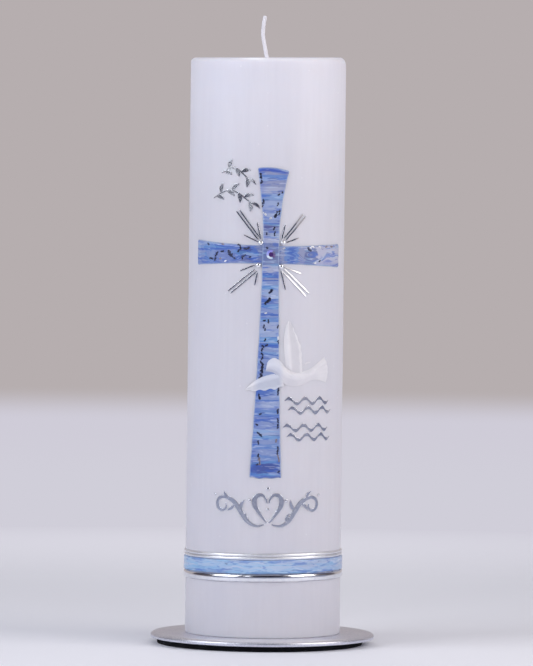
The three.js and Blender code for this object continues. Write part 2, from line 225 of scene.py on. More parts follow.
def lower_edge(radius, level, width, height, steps):
    """Rounded lower edge of a turned body."""
    return arc((radius - width, level + height), (width, height), -90, 0, steps)


def upper_edge(radius, level, width, height, steps):
    """Rounded upper edge of a turned body."""
    return arc((radius - width, level - height), (width, height), 0, 90, steps)


def tube(path, radius_at, sides):
    """Points and faces of a closed tube along a path, with a radius for each share of the way."""
    rings = []
    side = Vector((1, 0, 0))
    last = len(path) - 1
    for i, point in enumerate(path):
        ahead = (path[min(i + 1, last)] - path[max(i - 1, 0)]).normalized()
        side = (side - ahead * side.dot(ahead)).normalized()
        over = ahead.cross(side)
        radius = radius_at(i / last)
        rings.append([point + (side * math.cos(a) + over * math.sin(a)) * radius for a in turns(sides)])
    return loft(rings)


def joined(parts):
    """One list of points and faces out of several."""
    points, faces = [], []
    for part_points, part_faces in parts:
        start = len(points)
        points += part_points
        faces += [tuple(start + k for k in face) for face in part_faces]
    return points, faces


def spline(points, t):
    """Point at a share of the way along a smooth curve through points."""
    last = len(points) - 1
    place = min(max(t, 0), 1) * last
    i = min(int(place), last - 1)
    w = place - i
    p = [Vector(points[min(max(i + k, 0), last)]) for k in (-1, 0, 1, 2)]
    a = (p[2] - p[0]) * 0.5
    b = (p[3] - p[1]) * 0.5
    return (
        p[1] * (2 * w**3 - 3 * w**2 + 1) + a * (w**3 - 2 * w**2 + w)
        + p[2] * (-2 * w**3 + 3 * w**2) + b * (w**3 - w**2)
    )


# Material helpers

def srgb(r, g, b):
    """Linear colour from the 0 to 255 values that it has on screen."""
    def channel(value):
        value /= 255
        return value / 12.92 if value <= 0.04045 else ((value + 0.055) / 1.055) ** 2.4
    return (channel(r), channel(g), channel(b), 1)


class Look:
    """A material with its principled shader, and short calls for the nodes that feed it.

    What goes into a node is a number, a vector, a colour or the output of another node.
    """

    def __init__(self, name, **values):
        self.material = bpy.data.materials.new(name)
        self.material.use_nodes = True
        self.tree = self.material.node_tree
        self.shader = self.tree.nodes["Principled BSDF"]
        for socket, value in values.items():
            self.shader.inputs[socket.replace("_", " ")].default_value = value

    def put(self, value, target):
        """Links an output to a socket, or sets the socket to a plain value."""
        if isinstance(value, bpy.types.NodeSocket):
            self.tree.links.new(value, target)
        else:
            target.default_value = value

    def node(self, kind, inputs=(), **settings):
        """New node with its settings, and what goes into it as (socket, value) pairs."""
        made = self.tree.nodes.new(f"ShaderNode{kind}")
        for name, value in settings.items():
            setattr(made, name, value)
        for socket, value in inputs:
            self.put(value, made.inputs[socket])
        return made

    def feed(self, socket, source):
        """Links an output to a socket of the shader."""
        self.put(source, self.shader.inputs[socket])

    def mapped(self, vector, scale, shift=(0, 0, 0)):
        """Vector times a scale, which is one number or three, and then shifted."""
        scale = scale if hasattr(scale, "__len__") else (scale, scale, scale)
        made = self.node("Mapping", [("Vector", vector), ("Scale", scale), ("Location", shift)])
        return made.outputs["Vector"]

    def coords(self, scale, shift=(0, 0, 0)):
        """Object coordinates in metres, times a scale."""
        return self.mapped(self.node("TexCoord").outputs["Object"], scale, shift)

    def strip(self, scale, shift=(0, 0, 0)):
        """Places on the piece's strip in millimetres, times a scale."""
        place = self.node("Attribute", attribute_name="strip").outputs["Vector"]
        return self.mapped(place, scale, shift)

    def split(self, vector):
        """Outputs X, Y and Z of a vector."""
        return self.node("SeparateXYZ", [(0, vector)]).outputs

    def noise(self, vector, detail=3, roughness=0.5, distortion=0):
        """Noise over a vector."""
        sockets = {"Vector": vector, "Scale": 1, "Detail": detail, "Roughness": roughness}
        sockets["Distortion"] = distortion
        return self.node("TexNoise", sockets.items()).outputs["Fac"]

    def grain(self, scale, **values):
        """Noise over the object coordinates."""
        return self.noise(self.coords(scale), **values)

    def cells(self, scale):
        """Outputs Distance and Color of cells in the object coordinates."""
        return self.node("TexVoronoi", [("Vector", self.coords(scale)), ("Scale", 1)]).outputs

    def ramp(self, factor, stops, steps="LINEAR"):
        """Colour ramp with stops of (place, colour or grey)."""
        made = self.node("ValToRGB", [("Fac", factor)])
        made.color_ramp.interpolation = steps
        elements = made.color_ramp.elements
        while len(elements) < len(stops):
            elements.new(0.5)
        for element, (place, colour) in zip(elements, stops):
            element.position = place
            element.color = colour if hasattr(colour, "__len__") else (colour, colour, colour, 1)
        return made.outputs["Color"]

    def tones(self, factor, dark, light, low=0.3, high=0.7):
        """Ramp from one colour to another, as they are on screen."""
        return self.ramp(factor, [(low, srgb(*dark)), (high, srgb(*light))])

    def mix(self, factor, a, b, blend="MIX"):
        """Mix of two colours."""
        sockets = [(0, factor), (6, a), (7, b)]
        return self.node("Mix", sockets, data_type="RGBA", blend_type=blend).outputs[2]

    def maths(self, operation, a, b=0, clamp=False):
        """Result of an operation on two numbers."""
        return self.node("Math", [(0, a), (1, b)], operation=operation, use_clamp=clamp).outputs[0]

    def vector_maths(self, operation, *values):
        """Outputs Vector and Value of an operation on vectors."""
        return self.node("VectorMath", enumerate(values), operation=operation).outputs

    def bump(self, height, distance, strength, under=None):
        """Bump on the shader, over another bump if one is given."""
        made = self.node("Bump", [("Strength", strength), ("Distance", distance), ("Height", height)])
        if under:
            self.put(under, made.inputs["Normal"])
        self.feed("Normal", made.outputs["Normal"])
        return made.outputs["Normal"]


# Materials

def candle_wax():
    """Satin white wax with faint brushed streaks up the pillar and a few pale specks. Painted shade makes it
    darker towards the foot, and a painted highlight lightens the shoulder at the lip.
    """
    look = Look(
        "candle_wax", Subsurface_Weight=0.5, Subsurface_Radius=(1.0, 0.85, 0.8),
        Subsurface_Scale=0.004, Specular_IOR_Level=0.4,
    )
    brushed = look.grain((420, 420, 30), detail=5, roughness=0.6)
    clouds = look.ramp(look.grain((30, 30, 20), detail=4, roughness=0.55), [(0.35, 0.0), (0.7, 0.6)])
    tone = look.mix(clouds, look.tones(brushed, (220, 218, 227), (224, 222, 231)), srgb(217, 216, 228))
    specks = look.ramp(look.cells(150)["Distance"], [(0.03, 0.55), (0.07, 0.0)])
    tone = look.mix(specks, tone, srgb(240, 239, 245))
    # Painted shade: the colour is multiplied darker low on the pillar and left lightest at the top, as light
    # from above would fall on it.
    painted_shade_height = 0.265
    level = look.split(look.coords((1, 1, 1 / painted_shade_height)))["Z"]
    shade = look.ramp(level, [(0.08, 0.89), (0.3, 0.905), (0.75, 0.9), (0.83, 0.93), (0.94, 1.0)])
    tone = look.mix(1.0, tone, shade, "MULTIPLY")
    # Painted highlight: near the lip the base colour is mixed towards white; the lower roughness there is
    # real gloss.
    across, up = 50, 400
    lip = on_candle(LIP_ANGLE * RADIUS, (TOP - 0.6) * up / across, -0.4) * MM * across
    distance = look.vector_maths("DISTANCE", look.coords((across, across, up)), lip)["Value"]
    near = look.ramp(distance, [(0.12, 0.5), (0.42, 0.0)], steps="EASE")
    look.feed("Base Color", look.mix(near, tone, srgb(252, 252, 254)))
    look.feed("Roughness", look.ramp(near, [(0.0, 0.45), (0.8, 0.2)]))
    swell = look.bump(look.grain((110, 110, 40), detail=2), 0.0001, 0.35)
    look.bump(look.grain((1500, 1500, 500)), 0.00002, 0.45, under=swell)
    return look.material


SHADES = {
    "deep": srgb(56, 66, 134),
    "indigo": srgb(74, 90, 156),
    "royal": srgb(86, 113, 184),
    "violet": srgb(88, 97, 168),
    "mauve": srgb(94, 98, 148),
    "mid": srgb(110, 138, 194),
    "slate": srgb(118, 130, 172),
    "sky": srgb(118, 156, 204),
    "lavender": srgb(134, 150, 195),
    "grey": srgb(140, 147, 182),
    "aqua": srgb(160, 192, 226),
    "frost": srgb(178, 196, 224),
    "mist": srgb(184, 185, 208),
    "cobalt": srgb(60, 98, 190),
    "cyan": srgb(112, 168, 216),
    "pale": srgb(153, 167, 204),
    "haze": srgb(161, 167, 196),
    "white": srgb(194, 204, 228),
    # pale colour of the strips' edges, partly a painted highlight
    "edge": srgb(166, 182, 214),
}

# Broad shades of the marbled strips and where each starts, in millimetres up the upright, along the bar
# and up the blue band
UPRIGHT_BANDS = [
    (-102, "royal"), (-98.2, "indigo"), (-93.8, "royal"), (-92.4, "mid"), (-90.2, "lavender"),
    (-87.2, "mid"), (-85.2, "lavender"), (-83, "sky"), (-81.2, "pale"), (-78.2, "lavender"), (-75, "royal"),
    (-72.2, "mid"), (-69.4, "pale"), (-66, "mid"), (-65, "lavender"), (-63.4, "royal"), (-59, "lavender"),
    (-46.8, "royal"), (-44.5, "lavender"), (-42.2, "royal"), (-40, "pale"), (-39, "sky"), (-36.8, "pale"),
    (-30.6, "mid"), (-28.3, "lavender"), (-27.4, "royal"), (-26.4, "lavender"), (-24.4, "royal"),
    (-20.2, "pale"), (-15.9, "sky"), (-14, "lavender"), (-12.1, "royal"), (-11.4, "grey"), (-10.5, "royal"),
    # The haze bands either side of the crossing lie on the ramps where the upright climbs over the bar:
    # partly the marbling's own colour, partly painted highlight.
    (-8.3, "haze"), (-5, "slate"), (4.8, "haze"), (8, "slate"), (11.1, "mauve"), (12.9, "slate"),
    (13.8, "lavender"), (15.6, "pale"), (18.3, "lavender"), (20, "pale"), (23.7, "lavender"), (25.5, "mid"),
    (27.2, "haze"), (29.8, "grey"), (33.3, "mid"), (35, "grey"), (36.3, "violet"),
]
BAR_BANDS = [
    (-40, "pale"), (-36, "lavender"), (-33, "mid"), (-27, "royal"), (-14, "indigo"), (-8, "royal"),
    (-6.6, "slate"), (4.6, "grey"), (6.4, "mid"), (8, "royal"), (10.5, "mid"), (12, "grey"), (16, "slate"),
    (21.6, "mist"),
]
BLUE_BANDS = [(-1, "sky"), (0.9, "aqua"), (2.4, "frost"), (3.4, "aqua"), (4.6, "frost"), (5.8, "aqua")]

RAMP_STOPS = 30  # a colour ramp holds two more
TINT_REACH = 240  # millimetres of a strip that a tint's ramp spans


def curled(look, place, curls):
    """Places on the strip, bent into ovals round each curl, given as (x, y, half width, half height)."""
    for x, y, half_width, half_height in curls:
        offset = look.vector_maths("SUBTRACT", place, (x, y, 0))["Vector"]
        scaled = look.vector_maths("DIVIDE", offset, (half_width, half_height, 1e6))["Vector"]
        reach = look.vector_maths("LENGTH", scaled)["Value"]
        ring = look.maths("ADD", look.maths("MULTIPLY", reach, half_height * 0.8), y)
        ringed = look.node("CombineXYZ", [("X", look.split(place)["X"]), ("Y", ring)]).outputs["Vector"]
        share = look.maths("MULTIPLY", look.maths("SUBTRACT", 1.5, reach), 1.4, clamp=True)
        place = look.node("Mix", [(0, share), (4, place), (5, ringed)], data_type="VECTOR").outputs[1]
    return place


def swirled(look, place, amounts):
    """Places on the strip, carried about by a slow noise, so that straight streaks turn into swirls."""
    slow = look.node("TexNoise", [("Scale", 0.13), ("Vector", place)]).outputs["Color"]
    return look.vector_maths("MULTIPLY_ADD", slow, amounts, place)["Vector"]


def marbled_wax(
    name, bands, axis, low, high, streak_scale, warp, fray, strengths, swirl, curls=(), tint=(),
):
    """Lacquered wax sheet with drawn-out streaks over broad shades along one axis of the strip.

    bands are (start, shade) pairs along that axis, 0 along the bar or 1 up the upright, from low to high.
    Their borders wander by warp and are frayed into streaks. strengths are the shares of the deep, sky
    and white streaks. tint holds (place, shade, share) across the bands. The sheet thins to a pale edge,
    partly its own paler colour where thin and partly a painted highlight along its edges.
    """
    look = Look(name, Roughness=0.22, Coat_Weight=0.3, Coat_Roughness=0.1, Specular_IOR_Level=0.45)

    def drawn(factor):
        return tuple(value * factor for value in streak_scale)

    flat = look.strip(1)
    place = look.split(flat)
    shifted = place[axis]
    for scale, amount in (((0.16, 0.16, 0), warp), (drawn(2), fray)):
        uneven = look.maths("SUBTRACT", look.noise(look.strip(scale, (3, 1, 7))), 0.5)
        shifted = look.maths("ADD", shifted, look.maths("MULTIPLY", uneven, amount))
    share = look.maths("DIVIDE", look.maths("SUBTRACT", shifted, low), high - low)
    colour = None
    for first in range(0, len(bands), RAMP_STOPS):
        run = bands[first:first + RAMP_STOPS]
        stops = [((at - low) / (high - low), SHADES[shade]) for at, shade in run]
        shades = look.ramp(share, stops, "CONSTANT")
        beyond = look.maths("GREATER_THAN", shifted, run[0][0])
        colour = look.mix(beyond, colour, shades) if colour else shades
    if tint:
        across = look.maths("ADD", look.maths("MULTIPLY", place[1 - axis], 1 / TINT_REACH), 0.5)
        tints = look.ramp(across, [(at / TINT_REACH + 0.5, SHADES[shade]) for at, shade, amount in tint])
        amounts = look.ramp(across, [(at / TINT_REACH + 0.5, amount) for at, shade, amount in tint])
        colour = look.mix(amounts, colour, tints)
    bent = swirled(look, curled(look, flat, curls), swirl)
    deep, sky, white = strengths
    for shade, scale, shift, start, full, strength in (
        ("haze", 0.7, (2, 8, 1), 0.56, 0.64, 0.35),
        ("cyan", 1.1, (7, 3, 5), 0.57, 0.63, sky),
        ("cobalt", 1.3, (5, 9, 2), 0.58, 0.63, deep),
        ("frost", 1.6, (9, 2, 4), 0.57, 0.62, white),
        ("cobalt", 2.6, (4, 7, 3), 0.58, 0.62, deep),
        ("deep", 2.2, (1, 4, 6), 0.64, 0.68, deep),
        ("white", 2.6, (6, 5, 8), 0.6, 0.65, white),
    ):
        streaks = look.noise(look.mapped(bent, drawn(scale), shift), distortion=0.3)
        colour = look.mix(look.ramp(streaks, [(start, 0.0), (full, strength)]), colour, SHADES[shade])
    # Pale edge: partly the sheet's own paler colour where it thins, partly a painted highlight along its
    # edges.
    rim = look.ramp(look.maths("DIVIDE", place["Z"], 2), [(0.08, 0.65), (0.28, 0.0)])
    look.feed("Base Color", look.mix(rim, colour, SHADES["edge"]))
    look.bump(look.noise(look.strip(drawn(1.4), (5, 9, 2)), distortion=0.5), 0.00008, 0.6)
    return look.material


def silver(name, dark, light, roughness, grain=300):
    """Silver-coated wax: a mirror finish over a slightly crinkled film."""
    look = Look(name, Metallic=1.0, Roughness=roughness)
    look.feed("Base Color", look.tones(look.grain(900), dark, light))
    look.bump(look.grain(grain, detail=2), 0.00002, 0.4)
    return look.material


PEARL_LOW, PEARL_HIGH = (220, 218, 225), (227, 225, 231)


def pearl_wax(name, painted_blue_tint, panel):
    """Pearly white wax, with a painted tint where the blue upright would shine through it and painted shade
    on its thin panel, where the wax behind would show through.
    """
    look = Look(
        name, Roughness=0.5, Subsurface_Weight=0.2, Subsurface_Radius=(1, 1, 1), Subsurface_Scale=0.0006,
    )
    # Painted tint: across the upright the colour is mixed towards the blue that would shine through the wax.
    side = look.split(look.coords(50, (0.5, 0, 0)))["X"]
    over = look.ramp(side, [(0.1, 0.0), (0.28, 1.0), (0.7, 1.0), (0.84, 0.0)], steps="EASE")
    tone = look.mix(over, look.tones(look.grain(180), PEARL_LOW, PEARL_HIGH), srgb(*painted_blue_tint))
    # Painted shade: the sunk middle of each wing is multiplied darker by panel, as if the wax behind showed
    # through.
    across = look.split(look.strip(1))["X"]
    thin = look.ramp(across, [(0.3, 0.0), (0.45, 1.0), (0.8, 1.0), (0.9, 0.0)], steps="EASE")
    look.feed("Base Color", look.mix(thin, tone, panel, "MULTIPLY"))
    look.bump(look.grain(700), 0.00002, 0.3)
    return look.material


def plate_metal():
    """Blasted aluminium: fine bright grains on satin grey, and a painted highlight that lightens the front of
    its top face.
    """
    look = Look("plate_metal", Metallic=1.0)
    glitter = look.tones(look.cells(2200)["Color"], (212, 215, 228), (240, 242, 250), 0.2, 0.9)
    cloud = look.grain(120, detail=4)
    tone = look.mix(look.ramp(cloud, [(0.3, 0.0), (0.75, 0.4)]), glitter, srgb(216, 217, 229))
    # Painted highlight: the top face in front of the candle, out to the rim, is mixed towards white.
    place = look.split(look.coords((10, -10, 1 / MM / PLATE_HIGH.z)))
    front = look.ramp(place["Y"], [(0.32, 0.0), (0.42, 1.0)])
    painted_highlight_top = look.ramp(place["Z"], [(0.86, 0.0), (0.96, 0.8)])
    look.feed("Base Color", look.mix(look.maths("MULTIPLY", front, painted_highlight_top), tone, srgb(254, 254, 255)))
    look.feed("Roughness", look.ramp(cloud, [(0.3, 0.36), (0.7, 0.44)]))
    look.bump(look.grain(2600, detail=2), 0.00005, 0.6)
    return look.material


def steel():
    """Drawn steel of the spike, with fine marks round it."""
    look = Look("spike_steel", Metallic=1.0, Roughness=0.28)
    marks = look.grain((150, 150, 4000), detail=2)
    look.feed("Base Color", look.tones(marks, (176, 177, 182), (206, 207, 212)))
    look.bump(marks, 0.00002, 0.5)
    return look.material


def foam():
    """Black cell foam with open pores."""
    look = Look("foam_pad", Roughness=0.95, Specular_IOR_Level=0.2)
    pores = look.cells(2200)["Distance"]
    look.feed("Base Color", look.tones(pores, (6, 6, 8), (24, 24, 28), 0.1, 0.6))
    look.bump(pores, 0.0002, 0.7)
    return look.material


def cotton():
    """Waxed white cotton, with its fibres along the plait."""
    look = Look("wick_cotton", Roughness=0.55)
    fibres = look.grain((2600, 2600, 500), detail=2)
    look.feed("Base Color", look.tones(fibres, (222, 219, 228), (232, 230, 237)))
    look.bump(fibres, 0.00003, 0.2)
    return look.material


def cut_glass():
    """Foiled glass with an aurora coating. Its colour by the way each facet faces is painted reflection: pale
    blue to white on facets turned down and left, violet on those turned up and left, dark purple and greyish
    violet on the rest.
    """
    look = Look("cut_glass", Roughness=0.05, Specular_IOR_Level=0.8, Coat_Weight=1.0, Coat_Roughness=0.02)
    normal = look.node("TexCoord").outputs["Normal"]

    def facing(direction):
        along = look.vector_maths("DOT_PRODUCT", normal, direction)["Value"]
        return look.maths("ADD", look.maths("MULTIPLY", along, 0.5), 0.5)

    # Painted reflections: each facet is coloured by the way it faces.
    down_left = look.ramp(facing((-0.8, 0, -0.6)), [
        (0.15, srgb(104, 104, 140)), (0.36, srgb(112, 84, 150)), (0.51, srgb(70, 40, 100)),
        (0.57, srgb(150, 186, 248)), (0.7, srgb(226, 240, 255)),
    ])
    up_left = look.ramp(facing((-0.6, 0, 0.8)), [(0.58, 0.0), (0.72, 0.8)])
    look.feed("Base Color", look.mix(up_left, down_left, srgb(146, 146, 238)))
    return look.material


# Pieces

def make_candle(material):
    """Wax pillar with a soft, slightly uneven shoulder and a shallow funnel round the wick."""
    shoulder_width, shoulder_height, foot_round = 2.1, 2.0, 0.5
    funnel, hollow, wick = 2.6, 0.4, 1.0
    profile = [(0, FOOT), (RADIUS * 0.5, FOOT)]
    profile += lower_edge(RADIUS, FOOT, foot_round, foot_round, 5)
    profile += [(RADIUS, level) for level in spread(FOOT + 4, TOP - 5, 62)]
    profile += upper_edge(RADIUS, TOP, shoulder_width, shoulder_height, 10)
    profile += [(RADIUS * 0.8, TOP - 0.1), (RADIUS * 0.5, TOP - 0.25), (funnel * 2, TOP - hollow)]
    profile += [(funnel, TOP - hollow - 0.1), (wick + 0.7, TOP - hollow - 0.35), (wick, TOP - hollow - 0.1)]
    profile += [(0, TOP - hollow)]

    def wobble(radius, height, angle):
        around = Vector((math.sin(angle), math.cos(angle), 0))
        edge = smooth(height, TOP - 3, TOP - 0.3) * smooth(radius, RADIUS - 5, RADIUS - 1)
        swell = 0.07 * noise.noise(around * 1.6 + Vector((0, 0, height * 0.03)))
        uneven = 0.35 * noise.noise(around * 1.3 + Vector((7, 0, 0)))
        lip = hump((angle - LIP_ANGLE + math.pi) % (2 * math.pi), math.pi, 0.2)
        if radius > RADIUS - shoulder_width - 0.01 and height > TOP - shoulder_height - 0.01:
            cut = RADIUS - 0.75 * (height - TOP + shoulder_height) / shoulder_height
            radius += (cut - radius) * lip
            worn = smooth(math.sin(angle), 0.8, 1)
            radius = RADIUS - (RADIUS - radius) * (1 + 0.25 * worn)
            height = TOP - (TOP - height) * (1 + 0.7 * worn)
        wide = smooth(radius, RADIUS * 0.7, RADIUS)
        slant = 0.38 * smooth(height, TOP - 6, TOP) * (1 - math.sin(angle) * radius / RADIUS)
        return radius + wide * swell - edge * (uneven + 0.2) * (1 - lip), height - slant

    piece = turned("candle_body_wax", profile, 224, material, wobble)
    finish_piece(piece, "candle", "candle_wax", ["candle_body"])


def make_plate(material):
    """Metal plate with a rounded rim and a hole for the spike under the candle."""
    low, high, radius = PLATE_LOW.z, PLATE_HIGH.z, PLATE_HIGH.x
    round_width, round_height, under, hole = 2.0, 1.3, 0.5, 2.0
    profile = [(hole, low), (radius - under - 1, low)]
    profile += lower_edge(radius, low, under, under, 4)
    profile += upper_edge(radius, high, round_width, round_height, 8)
    profile += [(radius - 4, high), (RADIUS, high), (hole, high)]
    rings = [[round_point(r, angle, z) for r, z in profile] for angle in turns(240)]
    piece = new_piece("plate_disc", *loft(rings, closed=True), material)
    finish_piece(piece, "plate", "plate_metal", ["candle_plate"])


def make_pad(material):
    """Foam pad, cut a little unevenly and stuck on off centre, with a hollow over the spike's head."""
    middle = (PAD_LOW.x + PAD_HIGH.x) / 2
    radius = (PAD_HIGH.x - PAD_LOW.x) / 2
    height = PAD_HIGH.z
    hollow, floor, edge = 6.4, 1.5, 0.3
    profile = [(0, 0), (radius * 0.7, 0)]
    profile += lower_edge(radius, 0, edge, edge, 3)
    profile += upper_edge(radius, height, edge, edge, 3)
    profile += [(radius * 0.6, height), (hollow, height), (hollow, floor), (0, floor)]

    def wobble(r, z, angle):
        rim = smooth(r, radius - 3, radius - 0.5)
        return r - rim * (0.15 + 0.2 * wander(5 * math.sin(angle), 5 * math.cos(angle), 0)), z

    piece = turned("foot_pad_foam", profile, 180, material, wobble)
    for vertex in piece.data.vertices:
        vertex.co.x += middle * MM
    finish_piece(piece, "plate", "foam_pad", ["foot_pad"])


def make_spike(material):
    """Spike with its flat head under the plate, a straight shank and a long point."""
    low = PLATE_LOW.z
    profile = [(0, low - 0.8), (4.7, low - 0.8), (5, low - 0.6), (5, low)]
    profile += [(1.75, low), (1.7, low + 0.3), (1.7, SPIKE_TIP - 9.3), (1.62, SPIKE_TIP - 8.7)]
    profile += [(0.32, SPIKE_TIP - 0.25), (0.2, SPIKE_TIP - 0.05), (0, SPIKE_TIP)]
    piece = turned("spike_pin", profile, 48, material)
    finish_piece(piece, "plate", "spike_steel", ["plate_spike"])


def make_wick(material):
    """Plaited wick: three strands cross over each other round a core, and close in a blunt tip."""
    bends = [(0, -6), (0, -3), (-0.9, 0.2), (-1.9, 5.4), (-2.6, 10), (-2.35, 14.4), (-1.75, 18.3)]
    stem = [Vector((side, 0, TOP + rise)) for side, rise in bends]
    length, pitch, reach, strand_radius, core_radius = 24.3, 5.2, 0.15, 0.77, 0.62
    parts = []
    for strand in range(3):
        path = []
        for share in spread(0, 1, 120):
            phase = 2 * math.pi * (share * length / pitch + strand / 3)
            close = 1 - smooth(share, 0.94, 1)
            offset = Vector((math.sin(phase) * reach, math.cos(phase) * reach, 0)) * (0.5 + 0.5 * close)
            path.append(spline(stem, share) + offset)
        parts.append(tube(path, lambda t: strand_radius * (1 - 0.4 * smooth(t, 0.985, 1)), 14))
    core = [Vector((0, 0, level)) for level in (SPIKE_TIP + 3, TOP - 40, TOP - 8)]
    core += [spline(stem, share) for share in spread(0, 1, 40)]
    parts.append(tube(core, lambda t: core_radius, 12))
    piece = new_piece("wick_plait", *joined(parts), material)
    finish_piece(piece, "candle", "wick_cotton", ["wick"])


def arm_half(distance, waist, end, reach):
    """Half the width of an arm that flares towards its end."""
    share = max(0, (distance - FLARE_START) / (reach - FLARE_START))
    return (waist + (end - waist) * share**FLARE_POWER) / 2


def bar_half(x):
    """Half the bar's height."""
    return arm_half(abs(x), BAR_WAIST, BAR_WIDTH, BAR_REACH)


def upright_half(y):
    """Half the upright's width."""
    if y > 0:
        return arm_half(y, UPRIGHT_WAIST, HEAD_WIDTH, HEAD_LENGTH)
    return arm_half(-y, UPRIGHT_WAIST, STEM_WIDTH, STEM_LENGTH)


def upright_lift(y):
    """How far the upright is lifted where it passes over the bar."""
    return STRIP * (1 - smooth(abs(y), BRIDGE_EDGE, BRIDGE_FOOT))


def bar_spread(x):
    """How far the pressed bar reaches beyond its lower and its upper edge."""
    return 0.35 + 0.5 * smooth(-x, 14, 38), -0.2 * smooth(x, 25, 39)


def upright_spread(y):
    """How far the pressed upright reaches beyond its left and its right edge."""
    return 0, 0.35 * (1 - smooth(y, -10, -2)) + 0.75 * smooth(y, 24, 38)


def strip_rise(inset, taper):
    """Share of a strip's thickness at a distance in from its edge, which is pressed thin over the taper."""
    return 0.22 + 0.78 * smooth(inset, -0.12 * taper, taper)


def strip_profile(low, high, steps, taper):
    """Places across a strip, as (across, share of its thickness), underside first."""
    insets = [taper * share for share in (0, 0.12, 0.3, 0.5, 0.75, 1)]
    under = [(a, 0) for a in spread(low + 0.05, high - 0.05, steps)]
    right = [(high - inset, strip_rise(inset, taper)) for inset in insets]
    over = [(a, 1.0) for a in spread(high - taper * 1.6, low + taper * 1.6, steps - 2)]
    left = [(low + inset, strip_rise(inset, taper)) for inset in reversed(insets)]
    return [*under, *right, *over, *left]


def ragged(seed, place, size):
    """Small uneven shift of a hand-cut edge."""
    return size * wander(place * 0.22, seed * 5.3, 0) + size * 0.4 * wander(place * 0.9, seed * 2.1, 4)


def strip_piece(name, stations, half, pressed, lift, place, end_shift, material, steps, axis):
    """Wax strip along its stations. place(along the strip, across it, off) gives a point.

    end_shift(station, share across) gives how far its ends reach beyond or fall short of straight ones.
    """
    sunk = 0.15
    rings, marks = [], []
    for station in stations:
        near_end = min(station - stations[0], stations[-1] - station)
        thin = strip_rise(near_end, EDGE_TAPER)
        below, above = pressed(station)
        low = -half(station) - below + ragged(1 + axis, station, 0.14)
        high = half(station) + above + ragged(3 + axis, station, 0.14)
        base = lift(station) - sunk
        ring = []
        for across, share in strip_profile(low, high, steps, EDGE_TAPER):
            swell = 0.05 * wander(station * 0.3, across * 0.3, 0)
            off = base + share * thin * (STRIP + sunk + swell) if share else base
            ring.append(place(station + end_shift(station, across / half(station)), across, off))
            inset = min(across - low, high - across, near_end)
            marks.append((across, station, inset) if axis else (station, across, inset))
        rings.append(ring)
    return new_piece(name, *loft(rings), material, strip=marks)


def make_cross(bar_material, upright_material):
    """Two flared strips, with the upright laid over the bar."""
    def stations(low, high, steps):
        ends = [0, 0.1, 0.22, 0.4, 0.6]
        return [
            *[low + inset for inset in ends], *spread(low + 0.85, high - 0.85, steps),
            *[high - inset for inset in reversed(ends)],
        ]

    def bar_ends(x, share):
        return 0.3 * wander(share * 1.8, 3, 1) * smooth(abs(x), BAR_REACH - 3, BAR_REACH)

    def upright_ends(y, share):
        head = (0.45 - 0.75 * share**2 - 0.4 * share) * smooth(y, HEAD_LENGTH - 4, HEAD_LENGTH)
        foot = (0.9 * wander(share * 1.6, 8, 2) - 0.5 * share**6) * smooth(-y, STEM_LENGTH - 3, STEM_LENGTH)
        return head + foot

    bar = strip_piece(
        "cross_bar_strip", stations(-BAR_REACH + 0.1, BAR_REACH - 0.5, 120), bar_half, bar_spread,
        lambda x: 0, on_cross, bar_ends, bar_material, 12, 0,
    )
    finish_piece(bar, "candle", "marbled_wax", ["cross_bar"])
    upright = strip_piece(
        "cross_upright_strip", stations(-STEM_LENGTH, HEAD_LENGTH, 230), upright_half, upright_spread,
        upright_lift, lambda y, x, off: on_cross(x, y, off), upright_ends, upright_material, 16, 1,
    )
    finish_piece(upright, "candle", "marbled_wax", ["cross_upright"])


